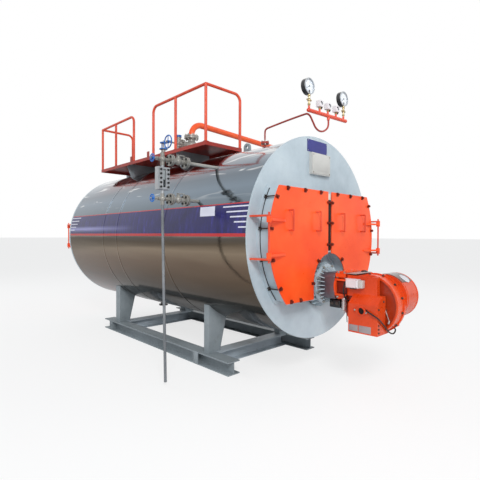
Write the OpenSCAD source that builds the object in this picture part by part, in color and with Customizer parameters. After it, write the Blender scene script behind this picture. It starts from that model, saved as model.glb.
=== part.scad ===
// Horizontal three-pass fire-tube steam boiler on a steel skid, in millimetres.
// X runs across the boiler, Y from the firing front to the rear, Z up from the floor.
// The origin is under the front cross beam, on the centre plane, at floor level.

/* [Boiler body] */
// Height of the shell axis above the floor
axis_h = 1438; // [1400:1:1500]
// Length from the front plate's face to the rear plate's face
body_l = 4216; // [4200:1:4600]
// Outer diameter of the polished cladding
clad_d = 2046; // [2030:1:2060]
// Outer diameter of the pressure drum
drum_d = 1850; // [1840:1:1870]
// Thickness of the drum wall
drum_t = 14; // [10:1:20]
// Diameter of the round front plate
front_d = 2090; // [2080:1:2130]
// Thickness of the front plate
front_t = 14; // [10:1:30]
// Depth of the front tube plate behind the front plate's face
tube_plate_y = 250; // [220:1:300]
// Outer diameter of one fire tube
tube_d = 70; // [60:1:76]
// Distance between fire tubes in a row
tube_pitch = 122; // [116:1:150]

/* [Smokebox doors] */
// Distance of the doors' curved edge inside the front plate's rim
door_in = 137; // [130:1:150]
// Height of the doors' top edge above the shell axis
door_top = 467; // [440:1:490]
// Depth of the doors' bottom edge below the shell axis
door_bottom = 609; // [590:1:625]
// Gap between the two doors
door_gap = 64; // [50:1:76]
// Thickness of a door's plate
door_t = 10; // [8:1:14]
// Distance from the front plate's face to the doors' front
door_out = 143; // [135:1:165]
// Radius of the arch that the burner passes through
arch_r = 286; // [280:1:296]
// Depth of the arch's centre below the shell axis
arch_down = 449; // [440:1:460]
// Distance of the hinge pins outside the doors' curved edge
hinge_out = 60; // [54:1:66]
// Height of the hinge brackets above and below the shell axis
hinge_z = 187; // [150:1:230]

/* [Skid] */
// Distance from the centre plane to the middle of a long beam
beam_x = 669; // [640:1:700]
// Depth of the skid's beams
beam_h = 142; // [120:1:160]
// Width of the beams' flanges
beam_w = 165; // [140:1:180]
// Thickness of the beams' flanges
flange_t = 12; // [8:1:16]
// Thickness of the beams' webs
web_t = 8; // [6:1:12]
// Length of the long beams
beam_l = 2905; // [2850:1:3200]
// Thickness of a front leg along the boiler
front_leg_t = 90; // [80:1:160]
// Thickness of a rear leg along the boiler
rear_leg_t = 130; // [80:1:160]

/* [Platform] */
// Length of the platform
deck_l = 2860; // [2780:1:2900]
// Width of the platform
deck_w = 595; // [560:1:600]
// Height of the platform's top above the shell axis
deck_z = 1134; // [1110:1:1180]
// Height of the guard rails
rail_h = 698; // [650:1:1100]
// Diameter of the guard rail's tube
rail_d = 36; // [30:1:44]

/* [Burner] */
// Depth of the burner's axis below the shell axis
burner_down = 478; // [470:1:485]
// Diameter of the burner's neck
neck_d = 262; // [240:1:280]
// Diameter of the fan scroll
scroll_d = 532; // [500:1:540]
// Diameter of the fan motor's housing
motor_d = 410; // [360:1:420]

/* [Fittings] */
// Diameter of the steam pipe
steam_d = 89; // [76:1:100]
// Diameter of a pressure gauge
gauge_d = 166; // [120:1:180]
// Distance between the level gauge's two branches
level_gap = 376; // [340:1:400]
// Diameter of the level gauge's flanges
level_flange_d = 112; // [100:1:120]

/* [Hidden] */
$fn = 48;

eps = 1;
seat = 0.3;
clad_r = clad_d / 2;
drum_r = drum_d / 2;
front_r = front_d / 2;
door_r = front_r - door_in;
hinge_x = door_r + hinge_out;
cross_front_y = 985;
cross_rear_y = 3085;

// Places are taken from the front plate's face and the shell axis.
module from_front() { translate([0, -cross_front_y, axis_h]) children(); }
module along_x(x, l, r) { translate([x, 0, 0]) rotate([0, 90, 0]) cylinder(h = l, r = r); }
module along_z(z, l, r) { translate([0, 0, z]) cylinder(h = l, r = r); }
module along_y(y, l, r) {
    translate([0, y, 0]) rotate([-90, 0, 0]) cylinder(h = l, r = r, $fn = r > 600 ? 240 : 48);
}
module block(low, high) { translate(low) cube(high - low); }
module plate_xz(y, t) { translate([0, y + t, 0]) rotate([90, 0, 0]) linear_extrude(t) children(); }
module plate_yz(x, t) { translate([x, 0, 0]) rotate([90, 0, 90]) linear_extrude(t) children(); }
module both_sides() { children(); mirror([1, 0, 0]) children(); }

// A bend of 90 degrees and the fall: it starts upwards at the origin and ends along +X.
module bend_zx(big, r, fall) {
    translate([big, 0, 0]) rotate([90, 0, 0]) rotate([0, 0, 90 - fall])
        rotate_extrude(angle = 90 + fall) translate([big, 0]) circle(r);
}

/* Sizes of the smokebox, shared by collar, doors and front plate */
collar_in = 20;
collar_t = 14;
split_x = 20;
arch_x = 30;
gasket = 5;
plug_t = 28;
plug_in = 50;
door_back = -door_out + door_t;
collar_front = door_back + gasket;

// The outline of both doors together, inset by o, between y and y + l.
module smokebox_shape(y, l, o) {
    difference() {
        intersection() {
            along_y(y, l, door_r - o);
            block([-door_r, y, -door_bottom + o], [door_r, y + l, door_top - o]);
        }
        arch_shape(y - eps, l + 2 * eps, o);
    }
}
module arch_shape(y, l, o) {
    translate([arch_x, 0, -arch_down]) along_y(y, l, arch_r + o);
    block([arch_x - arch_r - o, y, -front_r], [arch_x + arch_r + o, y + l, -arch_down]);
}

rear_t = 40;
module drum() {
    color("dimgray") from_front() difference() {
        along_y(front_t, body_l - front_t - rear_t, drum_r);
        along_y(front_t - eps, body_l, drum_r - drum_t);
    }
}

/* The tube plate with the ends of the fire tubes expanded into it */
plate_t = 40;
tube_wall = 4;
tube_out = 6;
bore_depth = 30;
furnace_r = 300;
tube_rows = [-4:7];
tube_columns = [-7:7];
row_pitch = tube_pitch * sin(60);
function tube_at(i, j) = [(j + (i % 2 == 0 ? 0 : 0.5)) * tube_pitch, i * row_pitch - 60];
function is_tube(p) = norm(p) < drum_r - drum_t - tube_d
    && norm(p - [0, -burner_down]) > furnace_r + tube_d * 0.8
    && p[1] < door_top - tube_d && p[1] > -door_bottom + tube_d;
tube_places = [for (i = tube_rows) for (j = tube_columns) if (is_tube(tube_at(i, j))) tube_at(i, j)];
module tube_plate() {
    color("gray") from_front() difference() {
        union() {
            along_y(tube_plate_y, plate_t, drum_r - drum_t);
            for (p = tube_places)
                translate([p[0], 0, p[1]]) along_y(tube_plate_y - tube_out, tube_out + eps, tube_d / 2);
        }
        for (p = tube_places)
            translate([p[0], 0, p[1]])
                along_y(tube_plate_y - tube_out - eps, tube_out + bore_depth + eps, tube_d / 2 - tube_wall);
    }
}

/* The furnace mouth behind the front plate; the plate carries a spool and a ring */
spool_r = 178;
ring_r = 204;
ring_t = 20;
ring_y = -125;
module furnace_mouth() {
    color("gray") from_front() translate([0, 0, -burner_down]) {
        along_y(front_t, tube_plate_y - front_t, furnace_r - tube_d / 2);
    }
}

module front_plate() {
    color("lightsteelblue") from_front() {
        difference() {
            along_y(0, front_t, front_r);
            smokebox_shape(-eps, front_t + 2 * eps, collar_in + collar_t);
        }
        translate([0, 0, -burner_down]) {
            along_y(ring_y + ring_t - eps, -ring_y - ring_t + 2 * eps, spool_r);
            along_y(ring_y, ring_t, ring_r);
        }
    }
}

/* The smokebox collar: walls, sealing flange, bolted root flange and mullion */
root_t = 12;
root_out = 14;
seal_t = 10;
mullion_w = 110;
module smokebox_collar() {
    color("slategray") from_front() {
        difference() {
            smokebox_shape(collar_front, -collar_front, collar_in);
            smokebox_shape(collar_front - eps, 2 * eps - collar_front, collar_in + collar_t);
        }
        difference() {
            smokebox_shape(collar_front, seal_t, collar_in - 8);
            smokebox_shape(collar_front - eps, seal_t + 2 * eps, collar_in + collar_t + 8);
        }
        difference() {
            intersection() {
                along_y(-root_t, root_t, door_r + root_out);
                block([-front_r, -root_t, -door_bottom - root_out], [front_r, 0, door_top + root_out]);
            }
            smokebox_shape(-root_t - eps, root_t + 2 * eps, collar_in + collar_t);
            arch_shape(-root_t - eps, root_t + 2 * eps, 0);
        }
        block([split_x - mullion_w / 2, collar_front, arch_r - arch_down + collar_in],
            [split_x + mullion_w / 2, collar_front + seal_t, door_top - collar_in]);
    }
}

/* The lagged cladding in four courses, with the holes that the nozzles need */
course_seams = [front_t, 1370, 2515, 2935, body_l - rear_t];
crown_x = 115;
steam_y = 2372;
safety_y = steam_y + 337;
vent_y = safety_y + 441;
siphon_x = -157;
siphon_y = 607;
nozzle_r = 45;
small_r = 17;
level_y = 801;
level_top = 741;
level_low = level_top - level_gap;
blow_y = 2960;
module nozzle_holes(gap) {
    for (y = [steam_y, safety_y, vent_y]) translate([crown_x, y, 0]) along_z(0, front_r * 2, nozzle_r + gap);
    translate([siphon_x, siphon_y, 0]) along_z(0, front_r * 2, small_r + gap);
    for (z = [level_top, level_low]) translate([0, level_y, z]) along_x(-2 * front_r, 2 * front_r, small_r + gap);
    translate([0, blow_y, -2 * front_r]) along_z(0, 2 * front_r, nozzle_r + gap);
}
module cladding(i) {
    color("silver") from_front() difference() {
        along_y(course_seams[i], course_seams[i + 1] - course_seams[i], clad_r);
        along_y(course_seams[i] - eps, course_seams[i + 1] - course_seams[i] + 2 * eps, drum_r);
        nozzle_holes(seat);
    }
}
module cladding_front() { cladding(0); }
module cladding_forward() { cladding(1); }
module cladding_middle() { cladding(2); }
module cladding_rear() { cladding(3); }

/* The rear end: plate, collar, a pair of fixed doors and the flue outlet */
rear_depth = door_out - door_t;
rear_gap = 40;
flue_z = 730;
flue_r = 170;
flue_wall = 8;
flue_l = 190;
flue_flange = 45;
flue_pcd = 390;
flue_hole_r = 6;
module rear_plate() {
    color("slategray") from_front() along_y(body_l - rear_t, rear_t, clad_r);
}
module rear_shape(y, l, o) {
    intersection() {
        along_y(y, l, door_r - o);
        block([-door_r, y, -door_bottom + o], [door_r, y + l, door_top - o]);
    }
}
module rear_collar() {
    color("slategray") from_front() difference() {
        rear_shape(body_l, rear_depth, collar_in);
        rear_shape(body_l - eps, rear_depth + 2 * eps, collar_in + collar_t);
    }
}
module rear_doors() {
    color("orangered") from_front() {
        difference() {
            rear_shape(body_l + rear_depth, door_t, 0);
            block([-rear_gap / 2, body_l, -front_r], [rear_gap / 2, body_l + 2 * door_out, front_r]);
        }
        translate([0, body_l, 0]) mirror([0, 1, 0]) both_sides() {
            for (s = [-1, 1]) {
                hinge_arm(s);
                hinge_strap(s);
            }
            hinge_rod();
        }
    }
}
module flue_outlet() {
    color("slategray") from_front() translate([0, body_l, flue_z]) difference() {
        union() {
            along_y(0, flue_l, flue_r);
            along_y(flue_l - seal_t, seal_t, flue_r + flue_flange);
        }
        along_y(-eps, flue_l + 2 * eps, flue_r - flue_wall);
        for (i = [0:11]) rotate([0, 15 + 30 * i, 0]) translate([flue_pcd / 2, 0, 0])
            along_y(flue_l - seal_t - eps, seal_t + 2 * eps, flue_hole_r);
    }
}

/* Hinges: arms and rod on the front plate, straps and barrels on the doors */
hinge_y = -190;
arm_t = 16;
arm_w = 84;
knuckle_r = 22;
pin_r = 9;
pin_gap = 0.05;
barrel_h = 50;
strap_t = 20;
strap_in = 700;
rod_over = 30;
module hinge_arm(s) {
    translate([-hinge_x, 0, s * hinge_z - arm_t / 2]) {
        linear_extrude(arm_t) polygon([[-arm_w / 2, 0], [arm_w / 2, 0],
            [knuckle_r, hinge_y], [-knuckle_r, hinge_y]]);
        translate([0, hinge_y, 0]) cylinder(h = arm_t, r = knuckle_r);
    }
}
module hinge_rod() {
    translate([-hinge_x, hinge_y, 0]) along_z(-hinge_z - rod_over, 2 * (hinge_z + rod_over), pin_r);
}
// The strap with its barrel; the barrel lies just inside the arm that carries it.
module hinge_strap(s) {
    mid = s * (hinge_z - arm_t / 2 - seat - barrel_h / 2);
    difference() {
        union() {
            translate([-hinge_x, hinge_y, mid - barrel_h / 2]) cylinder(h = barrel_h, r = knuckle_r);
            translate([0, 0, mid - strap_t / 2]) linear_extrude(strap_t)
                polygon([[-hinge_x, hinge_y - knuckle_r * 0.9], [-hinge_x + knuckle_r, hinge_y - knuckle_r * 0.9],
                    [-strap_in, -door_out - 8], [-strap_in, -door_out], [-hinge_x + 2 * knuckle_r, -door_out],
                    [-hinge_x, hinge_y + knuckle_r * 0.9]]);
        }
        translate([-hinge_x, hinge_y, mid - barrel_h]) cylinder(h = 2 * barrel_h, r = pin_r + pin_gap);
    }
}
module hinge_brackets() {
    color("orangered") {
        for (s = [-1, 1]) hinge_arm(s);
        hinge_rod();
    }
}
module hinge_bracket_left() { from_front() hinge_brackets(); }
module hinge_bracket_right() { from_front() mirror([1, 0, 0]) hinge_brackets(); }

// The left part of the doors' shape as far as the gap's edge, inset by o; mirrored for the right.
module left_leaf(y, l, o) {
    intersection() {
        smokebox_shape(y, l, o);
        block([-front_r, y - eps, -front_r], [split_x - door_gap / 2 - o, y + l + eps, front_r]);
    }
}
module right_leaf(y, l, o) {
    intersection() {
        smokebox_shape(y, l, o);
        block([split_x + door_gap / 2 + o, y - eps, -front_r], [front_r, y + l + eps, front_r]);
    }
}
module straps() { for (s = [-1, 1]) hinge_strap(s); }
module front_door_left() {
    color("orangered") from_front() {
        left_leaf(-door_out, door_t, 0);
        straps();
    }
}
module front_door_right() {
    color("orangered") from_front() {
        right_leaf(-door_out, door_t, 0);
        mirror([1, 0, 0]) straps();
    }
}

module door_lining_left() { color("gainsboro") from_front() left_leaf(door_back, plug_t, plug_in); }
module door_lining_right() { color("gainsboro") from_front() right_leaf(door_back, plug_t, plug_in); }

/* Two bow handles on each door */
handle_x = [217, 645];
handle_z = 158;
handle_l = 184;
handle_out = 55;
handle_r = 8;
module bow_handle() {
    translate([0, -door_out - handle_out, 0]) {
        along_z(-handle_l / 2, handle_l, handle_r);
        for (s = [-1, 1]) translate([0, 0, s * handle_l / 2]) {
            sphere(handle_r);
            along_y(0, handle_out, handle_r);
        }
    }
}
module handles() { color("orangered") for (x = handle_x) translate([-x, 0, handle_z]) bow_handle(); }
module door_handles_left() { from_front() handles(); }
module door_handles_right() { from_front() mirror([1, 0, 0]) handles(); }

/* Clamps round the edge of each door: a bridge, a stud and a nut */
clamp_in = 17;
clamp_w = 26;
clamp_l = 40;
clamp_t = 9;
nut_r = 14;
nut_h = 13;
stud_r = 8;
stud_h = 24;
edge_angles = [24, 5, -13, -31];
top_x = [150, 407, 667];
bottom_x = [470, 610];
arch_angles = [45, 0];
module clamp() {
    block([-clamp_w / 2, -door_out - clamp_t, -clamp_l / 2], [clamp_w / 2, -door_out, clamp_l / 2]);
    along_y(-door_out - stud_h, stud_h - clamp_t + eps, stud_r);
    translate([0, -door_out - clamp_t - nut_h, 0]) rotate([-90, 0, 0]) cylinder(h = nut_h + eps, r = nut_r, $fn = 6);
}
module clamps(side) {
    color("firebrick") {
        for (a = edge_angles) rotate([0, a, 0]) translate([-door_r + clamp_in, 0, 0]) rotate([0, 90, 0]) clamp();
        for (x = top_x) translate([-x, 0, door_top - clamp_in]) clamp();
        for (x = bottom_x) translate([-x, 0, -door_bottom + clamp_in]) clamp();
        for (a = arch_angles) translate([side * arch_x, 0, -arch_down]) rotate([0, a, 0])
            translate([-arch_r - clamp_in, 0, 0]) rotate([0, 90, 0]) clamp();
    }
}
module door_clamps_left() { from_front() clamps(1); }
module door_clamps_right() { from_front() mirror([1, 0, 0]) clamps(-1); }

/* Blank plates on the front */
nameplate_size = [328, 35, 220];
nameplate_x = 17;
nameplate_z = 651;
sign_size = [347, 3, 125];
sign_z = 880;
sign_x = -10;
module nameplate() {
    color("lightgray") from_front()
        translate([nameplate_x - nameplate_size[0] / 2, -nameplate_size[1], nameplate_z]) cube(nameplate_size);
}
module sign_plate() {
    color("midnightblue") from_front()
        translate([sign_x - sign_size[0] / 2, -sign_size[1], sign_z]) cube(sign_size);
}

/* The skid: two long H-beams, two cross beams and four legs */
beam_front_y = 560;
stiffener_t = 10;
stiffener_y = [1155, 3225];
anchor_r = 11;
anchor_out = 45;
anchor_y = [704, 3265];
module h_profile() {
    polygon([[-beam_w / 2, 0], [beam_w / 2, 0], [beam_w / 2, flange_t], [web_t / 2, flange_t],
        [web_t / 2, beam_h - flange_t], [beam_w / 2, beam_h - flange_t], [beam_w / 2, beam_h],
        [-beam_w / 2, beam_h], [-beam_w / 2, beam_h - flange_t], [-web_t / 2, beam_h - flange_t],
        [-web_t / 2, flange_t], [-beam_w / 2, flange_t]]);
}
module long_beam() {
    color("gray") translate([0, -cross_front_y, 0]) difference() {
        union() {
            translate([-beam_x, 0, 0]) plate_xz(beam_front_y, beam_l) h_profile();
            for (y = stiffener_y)
                block([-beam_x - beam_w / 2, y, flange_t - eps], [-beam_x, y + stiffener_t, beam_h - flange_t + eps]);
        }
        for (y = anchor_y) translate([-beam_x - anchor_out, y, 0]) along_z(-eps, flange_t + 2 * eps, anchor_r);
    }
}
module skid_beam_left() { long_beam(); }
module skid_beam_right() { mirror([1, 0, 0]) long_beam(); }
module cross_beams() {
    span = 2 * beam_x - beam_w;
    color("gray") for (y = [0, cross_rear_y - cross_front_y])
        translate([0, y, 0]) plate_yz(-span / 2, span) h_profile();
}

leg_outer = 686;
leg_foot_inner = 525;
leg_top_inner = 410;
front_leg_y = 951;
rear_leg_y = 3084;
module leg(y, t) {
    floor_z = beam_h - axis_h;
    difference() {
        plate_xz(y, t) polygon([[-leg_outer, floor_z], [-leg_foot_inner, floor_z],
            [-leg_top_inner, -clad_r * 0.8], [-leg_outer, -clad_r * 0.6]]);
        along_y(y - eps, t + 2 * eps, clad_r);
    }
}
module front_legs() { color("gray") from_front() both_sides() leg(front_leg_y, front_leg_t); }
module rear_legs() { color("gray") from_front() both_sides() leg(rear_leg_y, rear_leg_t); }

/* The platform: deck tray, brackets and two lengths of guard rail */
deck_near = -543;
deck_far = deck_near + deck_w;
deck_y = 1204;
deck_t = 5;
edge_h = 45;
hook_y = [2516, 3012];
hook_size = [6, 60, 75];
module platform_deck() {
    color("firebrick") from_front() {
        difference() {
            block([deck_near, deck_y, deck_z - edge_h], [deck_far, deck_y + deck_l, deck_z]);
            block([deck_near + deck_t, deck_y + deck_t, deck_z - edge_h - eps],
                [deck_far - deck_t, deck_y + deck_l - deck_t, deck_z - deck_t]);
        }
        for (y = hook_y) translate([deck_near, y - hook_size[1] / 2, deck_z - eps])
            cube(hook_size + [0, 0, eps]);
    }
}
bracket_t = 10;
bracket_y = [1850, 3190];
bracket_in = 33;
bracket_foot = 400;
module platform_brackets() {
    color("gray") from_front() for (y = bracket_y) difference() {
        plate_xz(y, bracket_t) polygon([[deck_near + bracket_in, deck_z - deck_t], [deck_near + bracket_in, deck_z - edge_h],
            [-bracket_foot, clad_r * 0.8], [deck_far - 2 * deck_t, clad_r * 0.8], [deck_far - 2 * deck_t, deck_z - deck_t]]);
        along_y(y - eps, bracket_t + 2 * eps, clad_r);
    }
}

rail_r = rail_d / 2;
rail_bend = 90;
post_in = rail_r;
module quarter_bend() { rotate_extrude(angle = 90) translate([rail_bend, 0]) circle(rail_r); }
// A rail of length l along +Y with a post at each end: square at 0, rounded at l.
module rail_bay(l, h) {
    along_z(0, h, rail_r);
    translate([0, 0, h]) sphere(rail_r);
    translate([0, 0, h]) along_y(0, l - rail_bend, rail_r);
    translate([0, l, 0]) along_z(0, h - rail_bend, rail_r);
    translate([0, l - rail_bend, h - rail_bend]) rotate([90, 0, 90]) quarter_bend();
}
module guard_rail(l, middle) {
    rail_bay(l, rail_h - rail_r);
    translate([0, middle, 0]) along_z(0, rail_h - rail_r, rail_r);
    rotate([0, 0, -90]) rail_bay(deck_w - 2 * post_in, rail_h - rail_r);
}
rear_rail_l = 1087;
rear_middle = 497;
front_rail_l = 1176;
front_middle = 629;
module guard_rail_rear() {
    color("firebrick") from_front() translate([deck_near + post_in, deck_y + deck_l - post_in, deck_z])
        mirror([0, 1, 0]) guard_rail(rear_rail_l, rear_middle);
}
module guard_rail_front() {
    color("firebrick") from_front() translate([deck_near + post_in, deck_y + post_in, deck_z])
        guard_rail(front_rail_l, front_middle);
}

/* Steam outlet: nozzle, stop valve with its stem towards the platform, and pipe */
flange_r = 108;
flange_pair = 44;
nozzle_top = 1160;
valve_z = 1366;
valve_top = 1478;
body_r = 88;
bonnet_r = 52;
stem_r = 12;
wheel_x = -268;
pipe_z = 1712;
pipe_bend = 186;
pipe_fall = 2.4;
pipe_run = 1680;
weld_w = 12;
weld_out = 2;
outlet_bore = 38;
outlet_depth = 150;
module on_crown(y) { from_front() translate([crown_x, y, 0]) children(); }
// A nozzle stub that stands on the drum, at the place where the origin now is.
module nozzle_stub(top, y) {
    difference() {
        along_z(0, top, nozzle_r);
        translate([-crown_x, -y, 0]) along_y(y - front_r, 2 * front_r, drum_r);
    }
}
module steam_valve() {
    color("darkgray") on_crown(steam_y) {
        nozzle_stub(nozzle_top + eps, steam_y);
        along_z(nozzle_top, flange_pair, flange_r);
        along_z(nozzle_top + flange_pair - eps, valve_top - nozzle_top - flange_pair + 2 * eps, nozzle_r + 8);
        translate([0, 0, valve_z]) {
            sphere(body_r);
            along_x(-body_r - 70, body_r + 70, bonnet_r);
            along_x(-body_r - 90, 24, bonnet_r + 20);
            along_x(wheel_x - crown_x - 20, -wheel_x + crown_x, stem_r);
        }
        along_z(valve_top, flange_pair, flange_r);
    }
}
module steam_pipe() {
    r = steam_d / 2;
    start = valve_top + flange_pair;
    color("orangered") on_crown(steam_y) {
        along_z(start, pipe_z - pipe_bend - start + weld_w / 2, r + weld_out);
        translate([0, 0, pipe_z - pipe_bend]) bend_zx(pipe_bend, r, pipe_fall);
        translate([pipe_bend, 0, pipe_z - pipe_bend]) rotate([0, pipe_fall, 0]) translate([0, 0, pipe_bend])
            difference() {
                union() {
                    along_x(weld_w / 4, pipe_run - weld_w / 4, r);
                    along_x(-weld_w / 2, weld_w, r + weld_out);
                }
                along_x(pipe_run - outlet_depth, outlet_depth + eps, outlet_bore);
            }
    }
}

/* Safety valve and vent valve on the crown */
safety_body_z = 1330;
safety_top = 1560;
module safety_valve() {
    color("darkgray") on_crown(safety_y) {
        nozzle_stub(nozzle_top + eps, safety_y);
        along_z(nozzle_top, flange_pair, flange_r * 0.85);
        along_z(nozzle_top + flange_pair - eps, safety_body_z - nozzle_top - flange_pair, nozzle_r);
        translate([0, 0, safety_body_z]) {
            sphere(nozzle_r * 1.6);
            along_x(0, nozzle_r * 3, nozzle_r);
            along_x(nozzle_r * 3, flange_pair / 2, flange_r * 0.8);
        }
        along_z(safety_body_z, safety_top - safety_body_z, nozzle_r * 0.9);
    }
}
module vent_valve() {
    color("darkgray") on_crown(vent_y) {
        nozzle_stub(nozzle_top + eps, vent_y);
        along_z(nozzle_top, flange_pair, flange_r * 0.85);
        along_z(nozzle_top + flange_pair - eps, safety_body_z - nozzle_top - flange_pair, nozzle_r);
        translate([0, 0, safety_body_z]) sphere(nozzle_r * 1.7);
        along_z(safety_body_z, 110, nozzle_r * 0.8);
        along_z(safety_body_z, yoke_top - safety_body_z, stem_r * 0.8);
    }
}

/* Handwheels, yokes and cap, painted blue */
wheel_r = 100;
wheel_tube = 9;
small_wheel_r = 40;
small_tube = 5;
yoke_top = 1590;
yoke_low = 1440;
module handwheel(r, tube, hub) {
    rotate_extrude() translate([r - tube, 0]) circle(tube, $fn = 24);
    for (a = [0, 90]) rotate([0, 0, a]) rotate([0, 90, 0]) translate([0, 0, tube - r])
        cylinder(h = 2 * (r - tube), r = tube * 0.7);
    difference() {
        translate([0, 0, -tube * 1.5]) cylinder(h = tube * 3, r = hub * 2);
    }
}
module handwheels() {
    color("royalblue") {
        from_front() {
            translate([wheel_x - 20 - 1.5 * wheel_tube, steam_y, valve_z]) rotate([0, 90, 0]) handwheel(wheel_r, wheel_tube, stem_r);
            translate([crown_x, safety_y, safety_top]) cylinder(h = 34, r = nozzle_r);
            translate([crown_x, vent_y, 0]) for (s = [-1, 1]) translate([0, s * nozzle_r, 0]) along_z(yoke_low, 120, 9);
            translate([crown_x, vent_y, 0]) difference() {
                union() {
                    along_z(yoke_low, 16, nozzle_r * 1.5);
                    along_z(yoke_low + 104, 16, nozzle_r * 1.3);
                }
                along_z(yoke_low - eps, 200, stem_r);
            }
            for (z = [level_top, level_low]) translate([level_wheel_x, level_y, z]) rotate([0, 90, 0])
                handwheel(small_wheel_r, small_tube, 7);
        }
    }
}

/* Lifting eyes on the crown */
eye_r = 52;
eye_bore = 24;
eye_t = 30;
eye_z = 1112;
eye_y = [1050, body_l - 81];
module lifting_eyes() {
    color("gray") from_front() for (y = eye_y) difference() {
        union() {
            translate([0, y, eye_z]) along_x(-eye_t / 2, eye_t, eye_r);
            block([-eye_t / 2, y - eye_r, clad_r * 0.9], [eye_t / 2, y + eye_r, eye_z]);
        }
        translate([0, y, eye_z]) along_x(-eye_t, 2 * eye_t, eye_bore);
        along_y(y - 2 * eye_r, 4 * eye_r, clad_r);
    }
}

/* The water level gauge on its two branches */
inner_flange_x = -1113;
level_valve_x = -1203;
outer_flange_x = -1292;
column_x = -1384;
level_wheel_x = -1495;
level_flange_t = 36;
column_r = 24;
gap_t = 3;
flange_bolt_r = 6;
flange_bolt_at = 43;
cover_size = [104, 12, 205];
glass_size = [132, 50, 215];
glass_bolt_r = 9;
glass_bolt_h = 9;
glass_bolt_x = 50;
glass_rows = 5;
slot_w = 30;
// Two flanges face to face with a packing ring between them and four bolts through both.
module flange_pair_x(x) {
    leaf_t = (level_flange_t - gap_t) / 2;
    translate([x - level_flange_t / 2, 0, 0]) {
        along_x(0, leaf_t, level_flange_d / 2);
        along_x(leaf_t - eps, gap_t + 2 * eps, level_flange_d / 2 - 2 * flange_bolt_r - 8);
        along_x(leaf_t + gap_t, leaf_t, level_flange_d / 2);
    }
    for (a = [45:90:315]) rotate([a, 0, 0]) translate([x, 0, flange_bolt_at]) {
        along_x(-level_flange_t / 2 - 8, level_flange_t + 16, flange_bolt_r);
        for (end = [-level_flange_t / 2 - 6, level_flange_t / 2])
            translate([end, 0, 0]) rotate([0, 90, 0]) cylinder(h = 6, r = 2 * flange_bolt_r, $fn = 6);
    }
}
module branch(z) {
    translate([0, level_y, z]) {
        along_x(inner_flange_x, -inner_flange_x, small_r);
        for (x = [inner_flange_x, outer_flange_x]) flange_pair_x(x);
        along_x(column_x, -column_x + inner_flange_x + eps, small_r);
        translate([level_valve_x, 0, 0]) {
            sphere(36);
            along_x(-52, 104, 26);
            along_z(0, 48, 20);
            along_z(0, 66, 10);
            block([-14, -12, 58], [70, 12, 66]);
        }
        translate([column_x, 0, 0]) sphere(column_r * 1.3);
        along_x(level_wheel_x + 1.5 * small_tube, column_x - level_wheel_x, 9);
        translate([column_x, 0, 0]) along_x(-50, 50, 18);
    }
}
module level_branches() {
    color("darkgray") from_front() {
        difference() {
            union() {
                for (z = [level_top, level_low]) branch(z);
                translate([column_x, level_y, 0]) {
                    along_z(level_top - 60, 120, column_r * 0.8);
                    along_z(level_low - column_end, 110, column_r * 0.8);
                }
            }
            along_y(level_y - front_r, 2 * front_r, drum_r);
        }
    }
}
module level_gauge() {
    mid = (level_top + level_low) / 2 + 3;
    color("lightgray") from_front() translate([column_x, level_y, 0]) {
        translate([0, 0, mid]) difference() {
            union() {
                cube(glass_size, center = true);
                translate([0, -glass_size[1] / 2 - cover_size[1] / 2 + eps / 2, 0]) cube(cover_size + [0, eps, 0], center = true);
                for (sx = [-1, 1]) for (k = [0:glass_rows - 1])
                    translate([sx * glass_bolt_x * 0.8, 0, (k - (glass_rows - 1) / 2) * cover_size[2] / glass_rows]) {
                        translate([0, -glass_size[1] / 2 - cover_size[1] - glass_bolt_h, 0]) rotate([-90, 0, 0])
                            cylinder(h = glass_bolt_h + eps, r = glass_bolt_r, $fn = 6);
                        along_y(-glass_size[1] / 2 - cover_size[1] - 2 * glass_bolt_h, 2 * glass_bolt_h, glass_bolt_r / 2);
                    }
            }
            translate([-slot_w / 2, -glass_size[1] / 2 - 2 * cover_size[1], -cover_size[2] * 0.42])
                cube([slot_w, 3 * cover_size[1], cover_size[2] * 0.84]);
        }
        along_z(level_low + 50, mid - level_low - 50 - glass_size[2] / 2 + eps, column_r * 0.7);
        along_z(mid + glass_size[2] / 2 - eps, level_top - 60 - mid - glass_size[2] / 2 + eps, column_r * 0.7);
    }
}
column_end = 60;
drain_l = 1705;
drain_r = 14;
drain_lean = 1.2;
drain_bore = 60;
module level_drain() {
    color("darkgray") from_front() translate([column_x, level_y, level_low - column_end]) rotate([0, -drain_lean, 0])
        difference() {
            along_z(-drain_l, drain_l - seat, drain_r);
            along_z(-drain_l - eps, drain_bore + eps, drain_r - 4);
        }
}

/* Pressure gauge piping: riser, run, siphon loop and header */
header_y = 19;
header_z = 1324;
header_x = -141;
header_l = 712;
header_r = 20;
header_rise = 2.6;
function header_at(x) = header_z + (x - header_x - header_l / 2) * tan(header_rise);
small_pipe_r = 10;
riser_x = 222;
riser_top = 1280;
riser_flange_z = 1064;
siphon_points = [[-157, 607, 1078], [-157, 607, 1195], [-157, 580, 1224], [-157, 540, 1230],
    [-157, 300, 1252], [-157, 60, 1268], [-146, 24, 1266], [-110, 19, 1252], [-60, 19, 1200], [-10, 19, 1150],
    [60, 19, 1130], [134, 19, 1144], [200, 19, 1186], [riser_x, 19, 1230], [riser_x, 19, riser_top - 2 * seat]];
siphon_steps = 5;
function curve(a, b, c, d, t) = 0.5 * ((2 * b) + (c - a) * t + (2 * a - 5 * b + 4 * c - d) * t * t
    + (3 * b - a - 3 * c + d) * t * t * t);
function smooth(p, n) = [for (i = [0:len(p) - 2]) for (k = [0:n - 1])
    curve(p[max(i - 1, 0)], p[i], p[i + 1], p[min(i + 2, len(p) - 1)], k / n), p[len(p) - 1]];
function unit(v) = v / norm(v);
function heading(p, i) = unit(p[min(i + 1, len(p) - 1)] - p[max(i - 1, 0)]);
function side_of(d) = unit(abs(d[0]) < 0.9 ? cross(d, [1, 0, 0]) : cross(d, [0, 1, 0]));
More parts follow.
